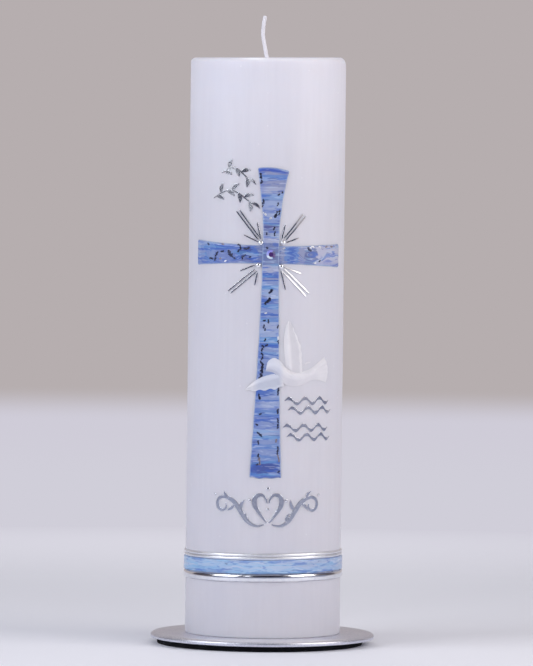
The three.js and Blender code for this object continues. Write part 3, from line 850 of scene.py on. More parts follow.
# Flakes of leaf in the marbled strips: x, y in the cross's plane, length, width, turn in degrees
DARK_FLAKES = [
    (-5.2, 35.1, 2.4, 1.2, 90), (-5, 32.3, 2, 1, 95), (-3.9, 22.7, 3.4, 1, 88), (1.7, 17.8, 3, 1.2, 75),
    (3.3, 18.8, 2.3, 0.8, 85), (2.6, 22.5, 1.6, 0.6, 80), (2.9, 26.7, 0.9, 0.7, 20),
    (4.5, 27.8, 0.8, 0.5, 90), (1.3, 11.5, 1.5, 1, 60), (1.5, 9.3, 1.9, 0.7, 90), (-2.2, 9.2, 0.9, 0.6, 90),
    (-1.7, 3, 0.9, 0.8, 0), (0.5, -16.7, 2.2, 1.5, 60), (-0.2, -20.5, 2.4, 1.4, 60),
    (-1.4, -21.5, 2, 1.3, 40), (-2.1, -29.5, 1.1, 0.7, 30), (-0.3, -29.8, 1.3, 0.8, 70),
    (-2.2, -32.1, 1.6, 0.8, 70), (-1.6, -33.5, 1.1, 0.8, 110), (3.9, -32.2, 1.5, 0.5, 85),
    (-1.6, -38.2, 1.1, 0.7, 90), (4.2, -38.9, 1.6, 0.5, 90), (-2.4, -41.1, 1.2, 0.9, 150),
    (-0.9, -40.6, 1.1, 0.9, 60), (-2.7, -42.6, 1.3, 0.9, 60), (-2.5, -44.6, 1.5, 0.8, 110),
    (-2.5, -46.4, 1.6, 0.9, 70), (-2.9, -48.3, 1.5, 0.9, 110), (-2.4, -49.9, 2, 1.4, 80),
    (-2.6, -51.8, 1.9, 1.3, 100), (-2.9, -53.5, 2, 1.2, 80), (-3.2, -55, 1.6, 1, 60),
    (-3.5, -63.6, 2.6, 1.1, 95), (4.8, -61.2, 3.2, 0.9, 88), (-2.5, -71.5, 1.1, 1, 45),
    (5, -70.1, 2, 0.5, 88), (5.1, -75.5, 4.6, 0.8, 90), (-4.2, -76, 0.9, 0.9, 0),
    (-2.7, -80.4, 2.8, 0.9, 140), (-3.3, -84.1, 1.8, 0.8, 80), (5.3, -87.6, 3.6, 0.8, 88),
    (-3.1, -89.9, 1.6, 1.1, 80), (-3.6, -93.9, 0.8, 0.8, 0), (5.9, -97, 1.2, 1.1, 60), (-30.8, 3.7, 1, 1, 0),
    (-14.1, 3.4, 2, 1, 150), (-13.7, 2.4, 1.6, 0.8, 90), (-14.5, 1.2, 1.3, 0.8, 40),
    (-10.6, 2.3, 2.5, 0.9, 10), (-25.6, -0.5, 2.4, 1.2, 45), (-26.3, -3, 1.6, 1.1, 90),
    (-28.8, -2.9, 2.4, 0.5, 0), (-22.6, 0.8, 2, 0.7, 10), (-18.7, 0.2, 2.8, 1.6, 130),
    (-17.3, -1.6, 2.6, 1.1, 150), (-11.9, -0.8, 2, 0.8, 20), (-12.7, -1.8, 1.4, 0.7, 80),
    (-9.2, -1.5, 0.9, 0.6, 30), (18, 2.5, 2.6, 1, 150), (23.8, -2.7, 0.9, 0.8, 0),
]
BROWN_FLAKES = [
    (4.5, -83, 1.5, 0.8, 95), (5.9, -91, 3, 0.6, 100), (-2.6, -92.3, 3.2, 1.1, 105),
    (27.9, 3.7, 1.5, 0.8, 10), (31.8, 3.8, 1.4, 0.7, 0), (-22.5, 3.9, 1.2, 0.5, 0), (-23.5, -2.6, 1, 0.4, 0),
]
BRIGHT_FLAKES = [
    (-3.1, 18.1, 1.8, 1, 140), (-0.5, 16.1, 1.1, 0.5, 10), (-1.5, -26.1, 0.9, 0.9, 0),
    (4.1, -37.4, 1.2, 0.5, 90), (19.4, 3.6, 2.6, 1.1, 10), (23.6, 3.6, 1.6, 0.9, 0),
    (21.4, -3.6, 1.2, 0.8, 30), (5.8, 2.8, 0.8, 0.8, 0), (-20.8, -3.7, 1, 0.7, 20),
]


def flake(x, y, length, width, turn):
    """Ragged, slightly crumpled flake of leaf, lying on a strip."""
    ahead, aside = directions(turn)
    on_upright = abs(x) < upright_half(y)
    if on_upright:
        inset = upright_half(y) + upright_spread(y)[x > 0] - abs(x)
    else:
        inset = bar_half(x) + bar_spread(x)[y > 0] - abs(y)
    lift = STRIP * strip_rise(inset, EDGE_TAPER) + (upright_lift(y) if on_upright else 0)

    def ring(size, off, crumple):
        made = []
        for k, angle in enumerate(turns(14)):
            reach = size * (0.5 + 0.3 * wander(x * 3.1 + k * 0.9, y * 2.3, k * 0.4))
            a, b = math.cos(angle) * length * reach, math.sin(angle) * width * reach
            px, py = x + a * ahead.x + b * aside.x, y + a * ahead.y + b * aside.y
            made.append(on_cross(px, py, lift + off + crumple * wander(px * 2, py * 2, 9)))
        return made

    return loft([ring(1.0, -0.06, 0), ring(1.0, 0.05, 0.04), ring(0.6, 0.08, 0.12), ring(0.15, 0.1, 0.1)])


def crumbs(x, y, length, width, turn):
    """Smaller bits along a flake's length, since the leaf breaks up where it is pressed in."""
    count = max(2, round(length * 1.7))
    ahead, aside = directions(turn)
    bits = []
    for k in range(count):
        share = (k + 0.5) / count - 0.5 + random.uniform(-0.08, 0.08)
        place = Vector((x, y)) + ahead * length * share + aside * width * random.uniform(-0.3, 0.3)
        size = random.uniform(0.55, 1.0)
        bit_length = max(0.8, 1.9 * length / count * size)
        bits.append((place.x, place.y, bit_length, max(0.7, width * size), turn + random.uniform(-50, 50)))
    return bits


def make_flakes():
    """Flakes of silver leaf pressed into the marbled strips: most of them dark, with painted dark reflection
    in their base colour, some brownish and some bright.
    """
    for name, flakes, dark, light, roughness in (
        # The dark leaf's near-black base colour is painted reflection of dark surroundings, darker than
        # silver is.
        ("dark_leaf_flakes", DARK_FLAKES, (40, 42, 64), (84, 88, 112), 0.35),
        ("brown_leaf_flakes", BROWN_FLAKES, (128, 118, 128), (162, 152, 160), 0.4),
        ("bright_leaf_flakes", BRIGHT_FLAKES, (236, 238, 244), (248, 249, 252), 0.5),
    ):
        shape = joined([flake(*bit) for values in flakes for bit in crumbs(*values)])
        material = silver(name, dark, light, roughness, 1500)
        finish_piece(new_piece(name, *shape, material), "candle", "silver_trim")


def make_stone(material):
    """Flat-backed stone with an eight-sided table, a row of star facets and a sixteen-sided girdle."""
    sides = 16
    points, rings = [], []
    for radius, height, count, shift in (
        (2.1, 0.0, sides, 0), (2.1, 0.3, sides, 0), (1.72, 0.85, sides, 0.5), (1.12, 1.42, sides // 2, 0.5),
    ):
        rings.append(list(range(len(points), len(points) + count)))
        points += [(radius * math.cos(a), radius * math.sin(a), height) for a in turns(count, shift)]
    back, girdle, crown, table = rings
    faces = [tuple(reversed(back)), tuple(table)]
    for k in range(sides):
        j = (k + 1) % sides
        inner = table[k // 2]
        faces += [(back[k], back[j], girdle[j], girdle[k]), (girdle[k], girdle[j], crown[k])]
        faces += [(girdle[j], crown[j], crown[k]), (crown[k], crown[j], inner)]
        if k % 2:
            faces.append((crown[j], table[(k // 2 + 1) % len(table)], inner))
    base = on_cross(0, 0, STRIP * 2 - 0.05)
    turn = Matrix.Rotation(math.pi / 2, 3, "X")
    points = [turn @ Vector(p) + base for p in points]
    piece = new_piece("stone_cut", points, faces, material, shade_smooth=False)
    finish_piece(piece, "candle", "cut_glass", ["rhinestone"])


# The corners of the cross: the bead's place and each ray's start, end and any roll in degrees, in its plane
CORNERS = {
    "upper_left": ((-4.5, 5.05), {
        "rise": ((-4.6, 6.6), (-6.4, 14.2)), "inner": ((-4.9, 7.2), (-14.5, 19.3)),
        "outer": ((-5.8, 6.5), (-16, 18.8)), "side": ((-5.7, 5.4), (-12.2, 8.3)),
    }),
    "upper_right": ((5.35, 5.35), {
        "rise": ((4.6, 6.7), (6.1, 13.4)), "inner": ((5.8, 7.3), (14.4, 18.2)),
        "outer": ((6.6, 6.5), (15.8, 17.3)), "side": ((7, 5.5), (12.6, 7.6)),
    }),
    "lower_left": ((-5.35, -4.9), {
        "rise": ((-5.7, -8.4), (-6.8, -13.9)), "inner": ((-5.8, -7.5), (-17.9, -18)),
        "outer": ((-7, -6.8), (-19.2, -17.1)), "side": ((-7, -5), (-13.6, -7.7)),
    }),
    "lower_right": ((4.75, -5.25), {
        "rise": ((4.8, -7.2), (6.9, -15.6)), "inner": ((5.3, -7.3), (16.9, -18.4), -9),
        "outer": ((6.2, -6.3), (18.4, -17.1), -9), "side": ((6.6, -5.6), (14, -8.2), -7),
    }),
}
RAY_EDGE = [(1, 0.1), (0.97, 0.35), (0.84, 0.45), (0.72, 0.45)]  # share of the half width, height off the wax


def mirrored(edge):
    """Section from its right edge to its left one, out of the right half from the edge inwards."""
    return edge + [(-across, off) for across, off in reversed(edge)]


def make_ray(corner, kind, material, start, end, roll=0):
    """Flat-topped silver strip that thins towards both ends, rolled a little about its length."""
    start, end = Vector(start), Vector(end)
    half_width = 0.22 if roll else 0.32
    length = (end - start).length
    heading = (end - start).normalized()
    aside = Vector((-heading.y, heading.x))
    sharp = 0.02 / length
    rings = []
    for share in [0, *spread(sharp, 1 - sharp, max(8, int(length / 0.7))), 1]:
        taper = 0.55 + 0.45 * smooth(min(share, 1 - share) * length, 0, 1.2)
        bend = 0.08 * wander(start.x + share * 2, start.y, 2)
        centre = start + heading * length * share + aside * bend
        ring = [on_cross(*(centre + aside * a), -0.08) for a in (0.3 * taper, -0.3 * taper)]
        for across, off in reversed(mirrored(RAY_EDGE)):
            place = centre + aside * across * half_width * taper
            ring.append(on_cross(place.x, place.y, off + across * half_width * math.tan(math.radians(roll))))
        rings.append(ring)
    piece = new_piece(f"{corner}_{kind}_ray", *loft(rings), material)
    finish_piece(piece, "candle", "silver_trim", [f"ray_{corner}_{kind}"])


def make_bead(corner, place, material):
    """Round silver bead, pressed in a little."""
    radius, height = 1.12, 1.3
    profile = [(0, -0.3), (radius * 0.75, -0.3)]
    profile += arc((0, 0.35), (radius, height - 0.35), -25, 90, 10)[:-1]
    profile += [(0, height)]
    piece = turned(f"{corner}_bead", profile, 32, material)
    base = on_cross(*place, 0.1)
    turn = Matrix.Rotation(math.atan2(base.x, -base.y), 3, "Z") @ Matrix.Rotation(math.pi / 2, 3, "X")
    for vertex in piece.data.vertices:
        vertex.co = turn @ vertex.co + base * MM
    finish_piece(piece, "candle", "silver_trim", [f"bead_{corner}"])


def make_corners(material, bead_material, satin_material):
    """Beads and rays in the corners of the cross."""
    for corner, (bead, rays) in CORNERS.items():
        make_bead(corner, bead, satin_material if corner == "upper_right" else bead_material)
        for kind, ray in rays.items():
            rolled = len(ray) > 2
            make_ray(corner, kind, satin_material if rolled else material, *ray)


# Dove outlines: opposite points of its lower and upper edge, from the middle of its back
BODY_PAIRS = [
    ((-13.7, 1.9), (-13.4, 4.2)), ((-12.2, 1.7), (-12.6, 6.4)), ((-10.3, 1.2), (-10.1, 7.8)),
    ((-8.6, -0.1), (-7.4, 6.5)), ((-7.1, -1.8), (-5, 3.8)), ((-4.8, -4.1), (-2.2, 2)),
    ((-1, -4.9), (1, 1.2)), ((3.6, -4.2), (4.8, 1.9)), ((8.4, -2.3), (9, 3.6)), ((13, -2.5), (12.6, 5.9)),
    ((17.2, -3.8), (16, 8)),
]
UPPER_WING_PAIRS = [
    ((-4.6, 3.8), (3.3, 1.4)), ((-5.3, 8.7), (3.1, 5.4)), ((-5.7, 12.5), (2.9, 9)), ((-5.7, 16), (2.3, 13)),
    ((-5.4, 19), (0.4, 17.4)), ((-4.8, 22), (-1.5, 21.3)), ((-3.9, 24.2), (-2.9, 23.9)),
]
LOWER_WING_PAIRS = [
    ((-9.9, 0.7), (-5.4, -4.7)), ((-12.3, 0.2), (-8.5, -5.9)), ((-14.5, -0.5), (-11.2, -6.2)),
    ((-16.9, -1.5), (-14.2, -6.6)), ((-19.4, -3.3), (-17.6, -6.9)), ((-21.4, -5), (-20.6, -7)),
    ((-23, -6.4), (-22.8, -6.9)),
]


def dove_seat(along, level):
    """Height of the dove's underside, which climbs over the upright of the cross."""
    rise = level - CROSS_LEVEL
    x = along * math.cos(CROSS_LEAN) - rise * math.sin(CROSS_LEAN)
    y = along * math.sin(CROSS_LEAN) + rise * math.cos(CROSS_LEAN)
    return STRIP * (1 - smooth(abs(x) - upright_half(y), 0.2, 4.2))


def make_relief(node, pairs, rows, columns, thickness, shift, material, seat=dove_seat):
    """Relief between two edges, with a thickness and a shift for each share across and along it."""
    lower = [Vector((*low, 0)) for low, high in pairs]
    upper = [Vector((*high, 0)) for low, high in pairs]
    shares = spread(0, 1, columns)
    rings, marks = [], []
    for v in spread(0, 1, rows):
        low, high = spline(lower, v), spline(upper, v)

        def place(u, height):
            point = low.lerp(high, u) + shift(u, v)
            along, level = DOVE_ALONG + point.x, DOVE_LEVEL + point.y
            return on_candle(along, level, seat(along, level) + height)

        under = [place(u, -0.15) for u in shares]
        over = [place(u, thickness(u, v)) for u in reversed(shares)]
        rings.append([*under, *over])
        marks += [(u, v, 0) for u in [*shares, *reversed(shares)]]
    piece = new_piece(f"{node}_relief", *loft(rings), material, strip=marks)
    finish_piece(piece, "candle", "pearl_wax", [node])


def edge_round(u, v, width, length):
    """0 at a relief's edge, rising softly to 1 inside it."""
    across = smooth(min(u, 1 - u) * width, -0.5, 1.6)
    return across * smooth(min(v, 1 - v) * length, -0.5, 1.5)


def dove_body_thickness(u, v):
    """Domed body with a ridge along its back, a lower head and a flat tail with five feathers."""
    tail = smooth(v, 0.7, 0.95)
    head = 1 - smooth(v, 0, 0.22)
    crest = 1.9 - 0.95 * tail - 0.3 * head
    dome = max(0, math.sin(math.pi * u ** (1 + 0.4 * smooth(v, 0.22, 0.42)))) ** 1.1
    ridge = 0.3 * hump(u, 0.78, 0.1) * smooth(v, 0.25, 0.4) * (1 - tail)
    fan = tail * (0.07 * math.cos(2 * math.pi * TAIL_FEATHERS * u) * u + 0.4 * hump(u, 0.86, 0.11))
    return 0.03 + edge_round(u, v, 8, 34) * (0.2 + (crest - 0.4) * dome + ridge + fan)


def wing_thickness(u, v, width, length):
    """Thick leading edge, a sunk panel with faint feather lines and a thin raised trailing edge."""
    lead = hump(u, 0.24, 0.17)
    tips = max(0, math.sin(37 * v + 2 * math.sin(9 * v))) ** 2
    trail = (0.08 + 0.4 * tips) * hump(u, 0.9, 0.06)
    barbs = 0.018 * math.sin(34 * v + 9 * u) * smooth(u, 0.25, 0.5)
    fade = 1 - 0.45 * v**2
    return 0.03 + edge_round(u, v, width, length) * fade * (0.24 + 0.24 * lead + trail + barbs)


def make_dove(body_material, upper_material, lower_material):
    """Dove of pearly wax in three parts: the body with its fan tail, the wing held up and the near wing."""
    def tail_shift(u, v):
        tail = smooth(v, 0.72, 1)
        notch = 0.15 * math.cos(2 * math.pi * TAIL_FEATHERS * u) * smooth(v, 0.94, 1)
        return Vector((1.7 * math.sin(math.pi * u) * tail**2 + notch, 0, 0))

    def upper_shift(u, v):
        scallop = 0.18 * math.sin(40 * v) * smooth(u, 0.7, 1) * smooth(v, 0.1, 0.3) * (1 - smooth(v, 0.85, 1))
        return Vector((scallop, -1.3 * math.sin(math.pi * u) * (1 - v) ** 4, 0))

    def lower_shift(u, v):
        swell = 0.9 * math.sin(math.pi * u) * (1 - v) ** 4
        scallop = 0.3 * math.cos(26 * v) * smooth(u, 0.72, 1) * (1 - smooth(v, 0.8, 1))
        return Vector((swell * 0.8, swell * 0.6 - scallop, 0))

    def on_wax(along, level):
        return 0

    make_relief("dove_body", BODY_PAIRS, 150, 52, dove_body_thickness, tail_shift, body_material)
    make_relief(
        "dove_upper_wing", UPPER_WING_PAIRS, 110, 44, lambda u, v: wing_thickness(u, v, 7, 22),
        upper_shift, upper_material, on_wax,
    )
    make_relief(
        "dove_lower_wing", LOWER_WING_PAIRS, 100, 40, lambda u, v: wing_thickness(u, v, 5, 17),
        lower_shift, lower_material,
    )
    tuft = [(DOVE_ALONG + x, DOVE_LEVEL + y) for x, y in ((4.4, 4.9), (5.9, 5.5), (7.4, 5.8))]
    feather = new_piece("dove_feather", *ribbon(tuft, [0.3, 0.7, 0.3], 16, 0.3), body_material)
    finish_piece(feather, "candle", "pearl_wax")


def make_band(name, bottom, height, proud, round_face, material, slot, node):
    """Strip wound round the candle, half round or flat, with its ends butted at the back."""
    seed = len(name)
    end = math.pi * RADIUS - 0.1
    rings, marks = [], []
    for along in spread(-end, end, 360):
        angle = along / RADIUS
        sway = RADIUS * math.sin(angle) * math.tan(BAND_LEAN)
        around = Vector((math.sin(angle), math.cos(angle), seed))
        drift = 0.09 * noise.noise(around * 3.1) + 0.05 * noise.noise(around * 9)
        if round_face:
            profile = [(0.02, -0.1), (height - 0.02, -0.1)]
            for turn in spread(0, math.pi, 12):
                profile.append((height / 2 * (1 + math.cos(turn)), 0.15 + proud * math.sin(turn) ** 0.8))
        else:
            low, high = ragged(seed, along, 0.12), height + ragged(seed + 3, along, 0.12)
            profile = []
            for across, share in strip_profile(low, high, 8, 0.35):
                swell = 0.06 * wander(along * 0.25, across * 0.5, seed)
                profile.append((across, -0.15 + share * (proud + 0.35 + swell)))
        rings.append([on_candle(along, bottom + sway + drift + up, off) for up, off in profile])
        marks += [(along, up, min(up, height - up) + 0.2) for up, off in profile]
    piece = new_piece(name, *loft(rings), material, strip=marks)
    finish_piece(piece, "candle", slot, [node])


def make_bands(silver_material, fine_material, pale_material):
    """The four bands round the foot, from the lowest up."""
    gap = 0.15
    bottom = BAND_START
    for name, height, proud, round_face, material, slot, node in (
        ("silver_band_strip", 3.3, 0.75, True, silver_material, "silver_trim", "silver_band"),
        ("blue_band_strip", 6.3, 0.6, False, pale_material, "pale_marbled_wax", "blue_band"),
        ("lower_fine_strip", 1.25, 0.45, True, fine_material, "silver_trim", "lower_silver_strip"),
        ("upper_fine_strip", 1.25, 0.45, True, fine_material, "silver_trim", "upper_silver_strip"),
    ):
        make_band(name, bottom, height, proud, round_face, material, slot, node)
        bottom += height + gap


# Generic ornaments of silver foil

def ribbon(points, widths, steps, thickness=0.2):
    """Foil strip along a smooth line of (along, level) points, with a width at each of them."""
    line = [Vector((*p, 0)) for p in points]
    breadth = [Vector((w, 0, 0)) for w in widths]
    edge = [(1, thickness * 0.6), (0.96, thickness * 0.95), (0.88, thickness), (0.8, thickness)]
    section = [(-1, -0.08), (1, -0.08), *mirrored(edge)]
    rings = []
    for t in spread(0, 1, steps):
        centre = spline(line, t)
        heading = (spline(line, min(1, t + 0.01)) - spline(line, max(0, t - 0.01))).normalized()
        aside = Vector((-heading.y, heading.x, 0))
        half = max(0.05, spline(breadth, t).x / 2)
        ring = []
        for across, off in section:
            place = centre + aside * (half * across)
            ring.append(on_candle(place.x, place.y, off))
        rings.append(ring)
    return loft(rings)


def leaf(base, turn, length, width):
    """Pointed leaf from its stalk end, at a turn in degrees."""
    ahead, aside = directions(turn)
    points = []
    for t in spread(0, 1, 4):
        bow = 0.12 * length * math.sin(math.pi * t)
        points.append(tuple(Vector(base) + ahead * length * t + aside * bow))
    return ribbon(points, [0.1, width * 0.8, width, width * 0.6, 0.05], 14)


def dot(along, level, radius):
    """Small domed dot of foil."""
    rings = []
    for share, off in ((1, -0.08), (1, 0.15), (0.75, 0.26), (0.35, 0.31)):
        ring = []
        for angle in turns(16):
            reach = radius * share
            ring.append(on_candle(along + reach * math.cos(angle), level + reach * math.sin(angle), off))
        rings.append(ring)
    return loft(rings)


def sprig(start, bend, end, leaves, size):
    """Olive sprig: a curved stem with leaves on alternate sides and one at its tip."""
    stem = [start, bend, end]
    parts = [ribbon(stem, [0.4, 0.8, 0.5], 24)]
    line = [Vector((*p, 0)) for p in stem]
    for k in range(leaves):
        t = 0.12 + 0.8 * k / max(1, leaves - 1)
        here = spline(line, t)
        ahead = spline(line, min(1, t + 0.02)) - spline(line, max(0, t - 0.02))
        turn = math.degrees(math.atan2(ahead.y, ahead.x)) + (48 if k % 2 else -48)
        parts.append(leaf((here.x, here.y), turn, size, size * 0.4))
    tip = spline(line, 1) - spline(line, 0.97)
    parts.append(leaf(end, math.degrees(math.atan2(tip.y, tip.x)), size, size * 0.3))
    return joined(parts)


def wave(start, width, height, crests, thick):
    """Line of flowing water, thick on its way down and drawn out thin at both ends."""
    points, widths = [], []
    for share in spread(0, 1, crests * 8):
        phase = 2 * math.pi * crests * share
        points.append((start[0] + width * share, start[1] + height / 2 * math.sin(phase)))
        ends = smooth(min(share, 1 - share), 0, 0.1)
        widths.append(0.25 + ends * (0.5 + (thick - 0.75) * (0.5 - 0.5 * math.cos(2 * phase))))
    return ribbon(points, widths, crests * 26)


def scroll(side):
    """Half of a penned ornament: half a heart, an S stroke with a curled end, leaves and dots."""
    def out(points):
        return [(side * x, SCROLL_LEVEL + y) for x, y in points]

    heart = [(0.4, -6.8), (3.8, -2.4), (6, 1.6), (5.4, 5), (2.9, 5.9), (1, 4.2), (0.5, 2.2)]
    stroke = [(1.8, -7.4), (5.6, -8), (9.4, -5.9), (12.4, -1.6), (15.6, 2.6), (19.6, 4.6)]
    for turn in spread(0, 4.6, 6):
        curl = 3.4 * (1 - turn / 9)
        stroke.append((21 + curl * math.sin(0.5 + turn), 1.2 + curl * math.cos(0.5 + turn)))
    parts = [
        ribbon(out(heart), [0.5, 1.5, 2.3, 2.1, 1.4, 0.9, 0.5], 60),
        ribbon(out(stroke), [0.5, 1.2, 1.9, 2.3, 2.1, 1.6, 1.5, 1.6, 1.6, 1.4, 1.1, 0.9, 0.6], 130),
    ]
    for x, y, turn, length, width in (
        (12.4, -1.4, 112, 5.6, 1.7), (15, 1.9, -38, 5.2, 1.5),
        (18, 4.1, 52, 4.2, 1.3), (8.3, -6.4, 68, 4.4, 1.4),
    ):
        parts.append(leaf((side * x, SCROLL_LEVEL + y), turn if side > 0 else 180 - turn, length, width))
    parts += [dot(side * x, SCROLL_LEVEL + y, radius) for x, y, radius in ((8.2, 3.4, 0.7), (25.2, 5.6, 0.5))]
    return joined(parts)


def make_ornaments(material):
    """Olive sprigs, lines of flowing water, and a penned heart between scrolls."""
    sprigs = [
        sprig((-23.5, 213), (-17, 215.4), (-10.5, 210.6), 5, 4.6),
        sprig((-28, 201.6), (-18.5, 205.4), (-9, 199.8), 7, 4.8),
    ]
    water = [wave(start, 24, 2.3, 3, 1.7) for start in ((6.9, 111.4), (8.6, 107.2), (6.3, 99.4), (8, 95.2))]
    scrolls = [scroll(-1), scroll(1), dot(0, SCROLL_LEVEL + 8.6, 0.8), dot(0, SCROLL_LEVEL - 0.6, 0.7)]
    for name, parts in (("sprig_ornament", sprigs), ("water_ornament", water), ("scroll_ornament", scrolls)):
        finish_piece(new_piece(name, *joined(parts), material), "candle", "silver_trim")


# Studio

FLOOR_NEAR = srgb(237, 237, 245)
FLOOR_MIDDLE = srgb(208, 206, 217)
FLOOR_HAZE = srgb(207, 204, 216)
BACKDROP = srgb(182, 174, 175)
AMBIENT = (0.222, 0.23, 0.264, 1)
LIT_MIDDLE = Vector((0, 0, 0.14))


def seen_rays(tree):
    """1 for the rays that the camera, metal and glass see, 0 for those that carry light."""
    path = tree.nodes.new("ShaderNodeLightPath")
    total = path.outputs["Is Camera Ray"]
    for kind in ("Is Glossy Ray", "Is Transmission Ray"):
        more = tree.nodes.new("ShaderNodeMath")
        more.operation = "MAXIMUM"
        tree.links.new(total, more.inputs[0])
        tree.links.new(path.outputs[kind], more.inputs[1])
        total = more.outputs[0]
    return total


def floor_paint():
    """Matt pale floor that passes into the backdrop's own pale and taupe tones further off."""
    look = Look("floor_paint", Base_Color=FLOOR_NEAR, Roughness=0.6, Specular_IOR_Level=0.3)
    reach = look.vector_maths("LENGTH", look.node("TexCoord").outputs["Object"])["Value"]
    stops = [(0.35, FLOOR_MIDDLE), (0.58, FLOOR_HAZE), (0.74, BACKDROP)]
    tone = look.ramp(look.maths("DIVIDE", reach, 3), stops, steps="EASE")
    backdrop = look.node("Emission", [("Color", tone)])
    fade = look.maths("DIVIDE", look.maths("SUBTRACT", reach, 0.38), 0.34, clamp=True)
    factor = look.maths("MULTIPLY", fade, seen_rays(look.tree))
    mix = look.node("MixShader", [(0, factor), (1, look.shader.outputs[0]), (2, backdrop.outputs[0])])
    look.put(mix.outputs[0], look.tree.nodes["Material Output"].inputs["Surface"])
    return look.material


def make_stage():
    """Round pale floor, and dark cards in front that only reflections see, as the dark end of a studio.

    The low dark card is low and near enough for flat silver high up on the candle to reflect it.
    """
    size, count = 11 / MM, 96
    points = [(0, 0, 0)] + [(size * math.cos(a), size * math.sin(a), 0) for a in turns(count)]
    faces = [(0, 1 + k, 1 + (k + 1) % count) for k in range(count)]
    new_piece("floor", points, faces, floor_paint())
    steps = 24
    for name, start, end, low, high, reach, tone in (
        ("foot_card", -80, 100, 0.0, 0.1, 0.6, (146, 152, 172)),
        ("low_dark_card", -80, 40, 0.1, 0.2, 0.6, (72, 76, 96)),
        ("high_dark_card", -80, 40, 0.06, 2.6, 1.9, (60, 60, 74)),
        ("left_brown_card", -125, -82, 0.06, 2.0, 1.9, (120, 112, 120)),
        ("right_brown_card", 82, 125, 0.06, 2.0, 1.9, (150, 140, 142)),
    ):
        look = Look(name, Base_Color=srgb(*tone), Roughness=1.0, Specular_IOR_Level=0.0)
        points = []
        for angle in spread(math.radians(start), math.radians(end), steps):
            points += [round_point(reach / MM, angle, level / MM) for level in (low, high)]
        faces = [(2 * k, 2 * k + 1, 2 * k + 3, 2 * k + 2) for k in range(steps)]
        card = new_piece(name, points, faces, look.material)
        card.visible_camera = False
        card.visible_diffuse = False
        card.visible_shadow = False
        card.visible_transmission = False


def make_world():
    """Even ambient light, with the backdrop's colour for what the camera, metal and glass see."""
    world = bpy.data.worlds.new("studio")
    bpy.context.scene.world = world
    world.use_nodes = True
    tree = world.node_tree
    mix = tree.nodes.new("ShaderNodeMix")
    mix.data_type = "RGBA"
    tree.links.new(seen_rays(tree), mix.inputs[0])
    mix.inputs[6].default_value = AMBIENT
    mix.inputs[7].default_value = BACKDROP
    tree.links.new(mix.outputs[2], tree.nodes["Background"].inputs["Color"])


def make_light(name, azimuth, elevation, distance, size, power, colour, in_reflections=True):
    """Soft box at an azimuth and elevation from the candle's middle, facing it. Azimuth 0 is in front."""
    data = bpy.data.lights.new(name, "AREA")
    data.shape = "RECTANGLE"
    data.size, data.size_y = size
    data.energy = power
    data.color = colour
    light = bpy.data.objects.new(name, data)
    rise = math.radians(elevation)
    towards = round_point(math.cos(rise), math.radians(azimuth), math.sin(rise))
    light.location = LIT_MIDDLE + towards * distance
    light.rotation_mode = "QUATERNION"
    light.rotation_quaternion = towards.to_track_quat("Z", "Y")
    light.visible_camera = False
    light.visible_glossy = in_reflections
    bpy.context.scene.collection.objects.link(light)


def make_lights():
    """A soft box at each side, a high one in front, a strip for the silver, one behind and one above."""
    plain = (1.0, 0.99, 0.98)
    make_light("key_right", 60, 24, 0.8, (0.5, 0.46), 3.25, (1.0, 0.955, 0.9))
    make_light("fill_left", -62, 24, 0.8, (0.5, 0.46), 3.4, (0.945, 0.965, 0.995))
    make_light("high_front", 20, 32, 0.75, (0.4, 0.4), 0.86, plain, in_reflections=False)
    make_light("strip_left", -27, 12, 1.3, (0.1, 1.2), 1.0, (0.95, 0.97, 1.0))
    make_light("back", 180, 8, 0.9, (0.7, 0.3), 2.3, plain, in_reflections=False)
    make_light("above", 0, 90, 0.45, (0.07, 0.07), 0.24, plain, in_reflections=False)


def make_camera():
    """Long lens a little above the candle, fitted to the photograph."""
    distance, height, aim_x, aim_level = 3076.2, 276.5, 0.43, 140.3
    roll, azimuth = 0.011106, math.radians(-3.19)
    focal, image_height, sensor = 6821.1, 666, 36
    turn = Matrix.Rotation(azimuth, 3, "Z")
    place = Vector((0, -distance, height))
    ahead = (Vector((aim_x, 0, aim_level)) - place).normalized()
    level_right = ahead.cross(Vector((0, 0, 1))).normalized()
    level_up = level_right.cross(ahead)
    right = level_right * math.cos(roll) + level_up * math.sin(roll)
    up = level_up * math.cos(roll) - level_right * math.sin(roll)
    data = bpy.data.cameras.new("camera")
    data.sensor_width = sensor
    data.lens = focal / image_height * sensor
    data.clip_start, data.clip_end = 0.05, 60
    camera = bpy.data.objects.new("camera", data)
    axes = Matrix((turn @ right, turn @ up, turn @ -ahead)).transposed()
    camera.matrix_world = Matrix.Translation(turn @ place * MM) @ axes.to_4x4()
    bpy.context.scene.collection.objects.link(camera)
    bpy.context.scene.camera = camera


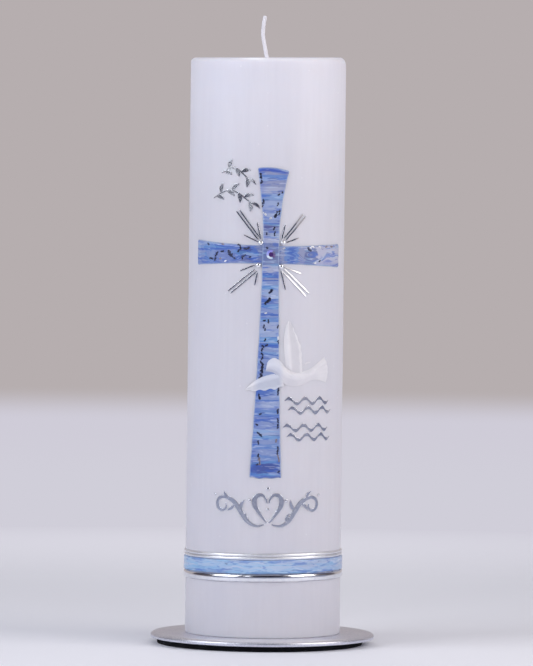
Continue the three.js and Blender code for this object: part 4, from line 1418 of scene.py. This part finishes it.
def dress_cross():
    """Marbled strips with their flakes of leaf."""
    upright = marbled_wax(
        "marbled_upright", UPRIGHT_BANDS, 1, -STEM_LENGTH - 3, HEAD_LENGTH, streak_scale=(0.05, 0.34, 0),
        warp=1.2, fray=1.4, strengths=(0.5, 0.35, 0.4), swirl=(3, 0.9, 0),
        tint=[(-6.5, "cobalt", 0.45), (-1.5, "cobalt", 0.0), (3, "royal", 0.0), (6.5, "royal", 0.3)],
    )
    bar = marbled_wax(
        "marbled_bar", BAR_BANDS, 0, -BAR_REACH - 1, BAR_REACH, streak_scale=(0.055, 0.36, 0),
        warp=4, fray=9, strengths=(0.55, 0.35, 0.4), swirl=(7, 3, 0),
        curls=[(-22, -1.2, 7, 2.6), (19.5, 0.2, 6, 2.8)], tint=[(-5.4, "royal", 0.6), (-2.6, "royal", 0.0)],
    )
    make_cross(bar, upright)
    make_flakes()


def dress_dove():
    """Dove in three materials of pearly wax, which differ in their painted blue tint and painted shade on the
    wing panels.
    """
    make_dove(
        pearl_wax("pearl_wax_body", (211, 213, 226), (1, 1, 1, 1)),
        pearl_wax("pearl_wax_upper", PEARL_HIGH, (0.87, 0.87, 0.885, 1)),
        pearl_wax("pearl_wax_lower", (203, 207, 222), (0.87, 0.88, 0.9, 1)),
    )


def dress_corners():
    """Silver rays and beads, most of them mirror bright."""
    make_corners(
        silver("silver_trim", (238, 240, 246), (251, 252, 254), 0.1),
        silver("silver_beads", (238, 240, 246), (251, 252, 254), 0.08),
        silver("silver_satin", (240, 241, 247), (252, 252, 254), 0.3),
    )


def dress_bands():
    """Silver bands and the marbled blue one."""
    wide = silver("silver_band_trim", (232, 234, 242), (246, 247, 250), 0.18)
    fine = silver("silver_fine_trim", (240, 242, 249), (250, 251, 254), 0.45)
    pale = marbled_wax(
        "marbled_band", BLUE_BANDS, 1, -1, 7, streak_scale=(0.06, 0.4, 0),
        warp=2, fray=4, strengths=(0.45, 0.4, 0.6), swirl=(10, 2.2, 0),
        tint=[
            (-46, "cyan", 0.35), (-22, "cyan", 0.25), (0, "frost", 0.1),
            (20, "lavender", 0.25), (46, "lavender", 0.5),
        ],
    )
    make_bands(wide, fine, pale)


def main():
    """Camera, pieces and studio."""
    make_camera()
    make_candle(candle_wax())
    make_plate(plate_metal())
    make_pad(foam())
    make_spike(steel())
    make_wick(cotton())
    dress_cross()
    make_stone(cut_glass())
    dress_corners()
    dress_dove()
    dress_bands()
    make_ornaments(silver("silver_foil", (216, 218, 227), (240, 242, 248), 0.17, 900))
    make_stage()
    make_world()
    make_lights()
    bpy.context.scene.view_settings.view_transform = "Standard"


main()
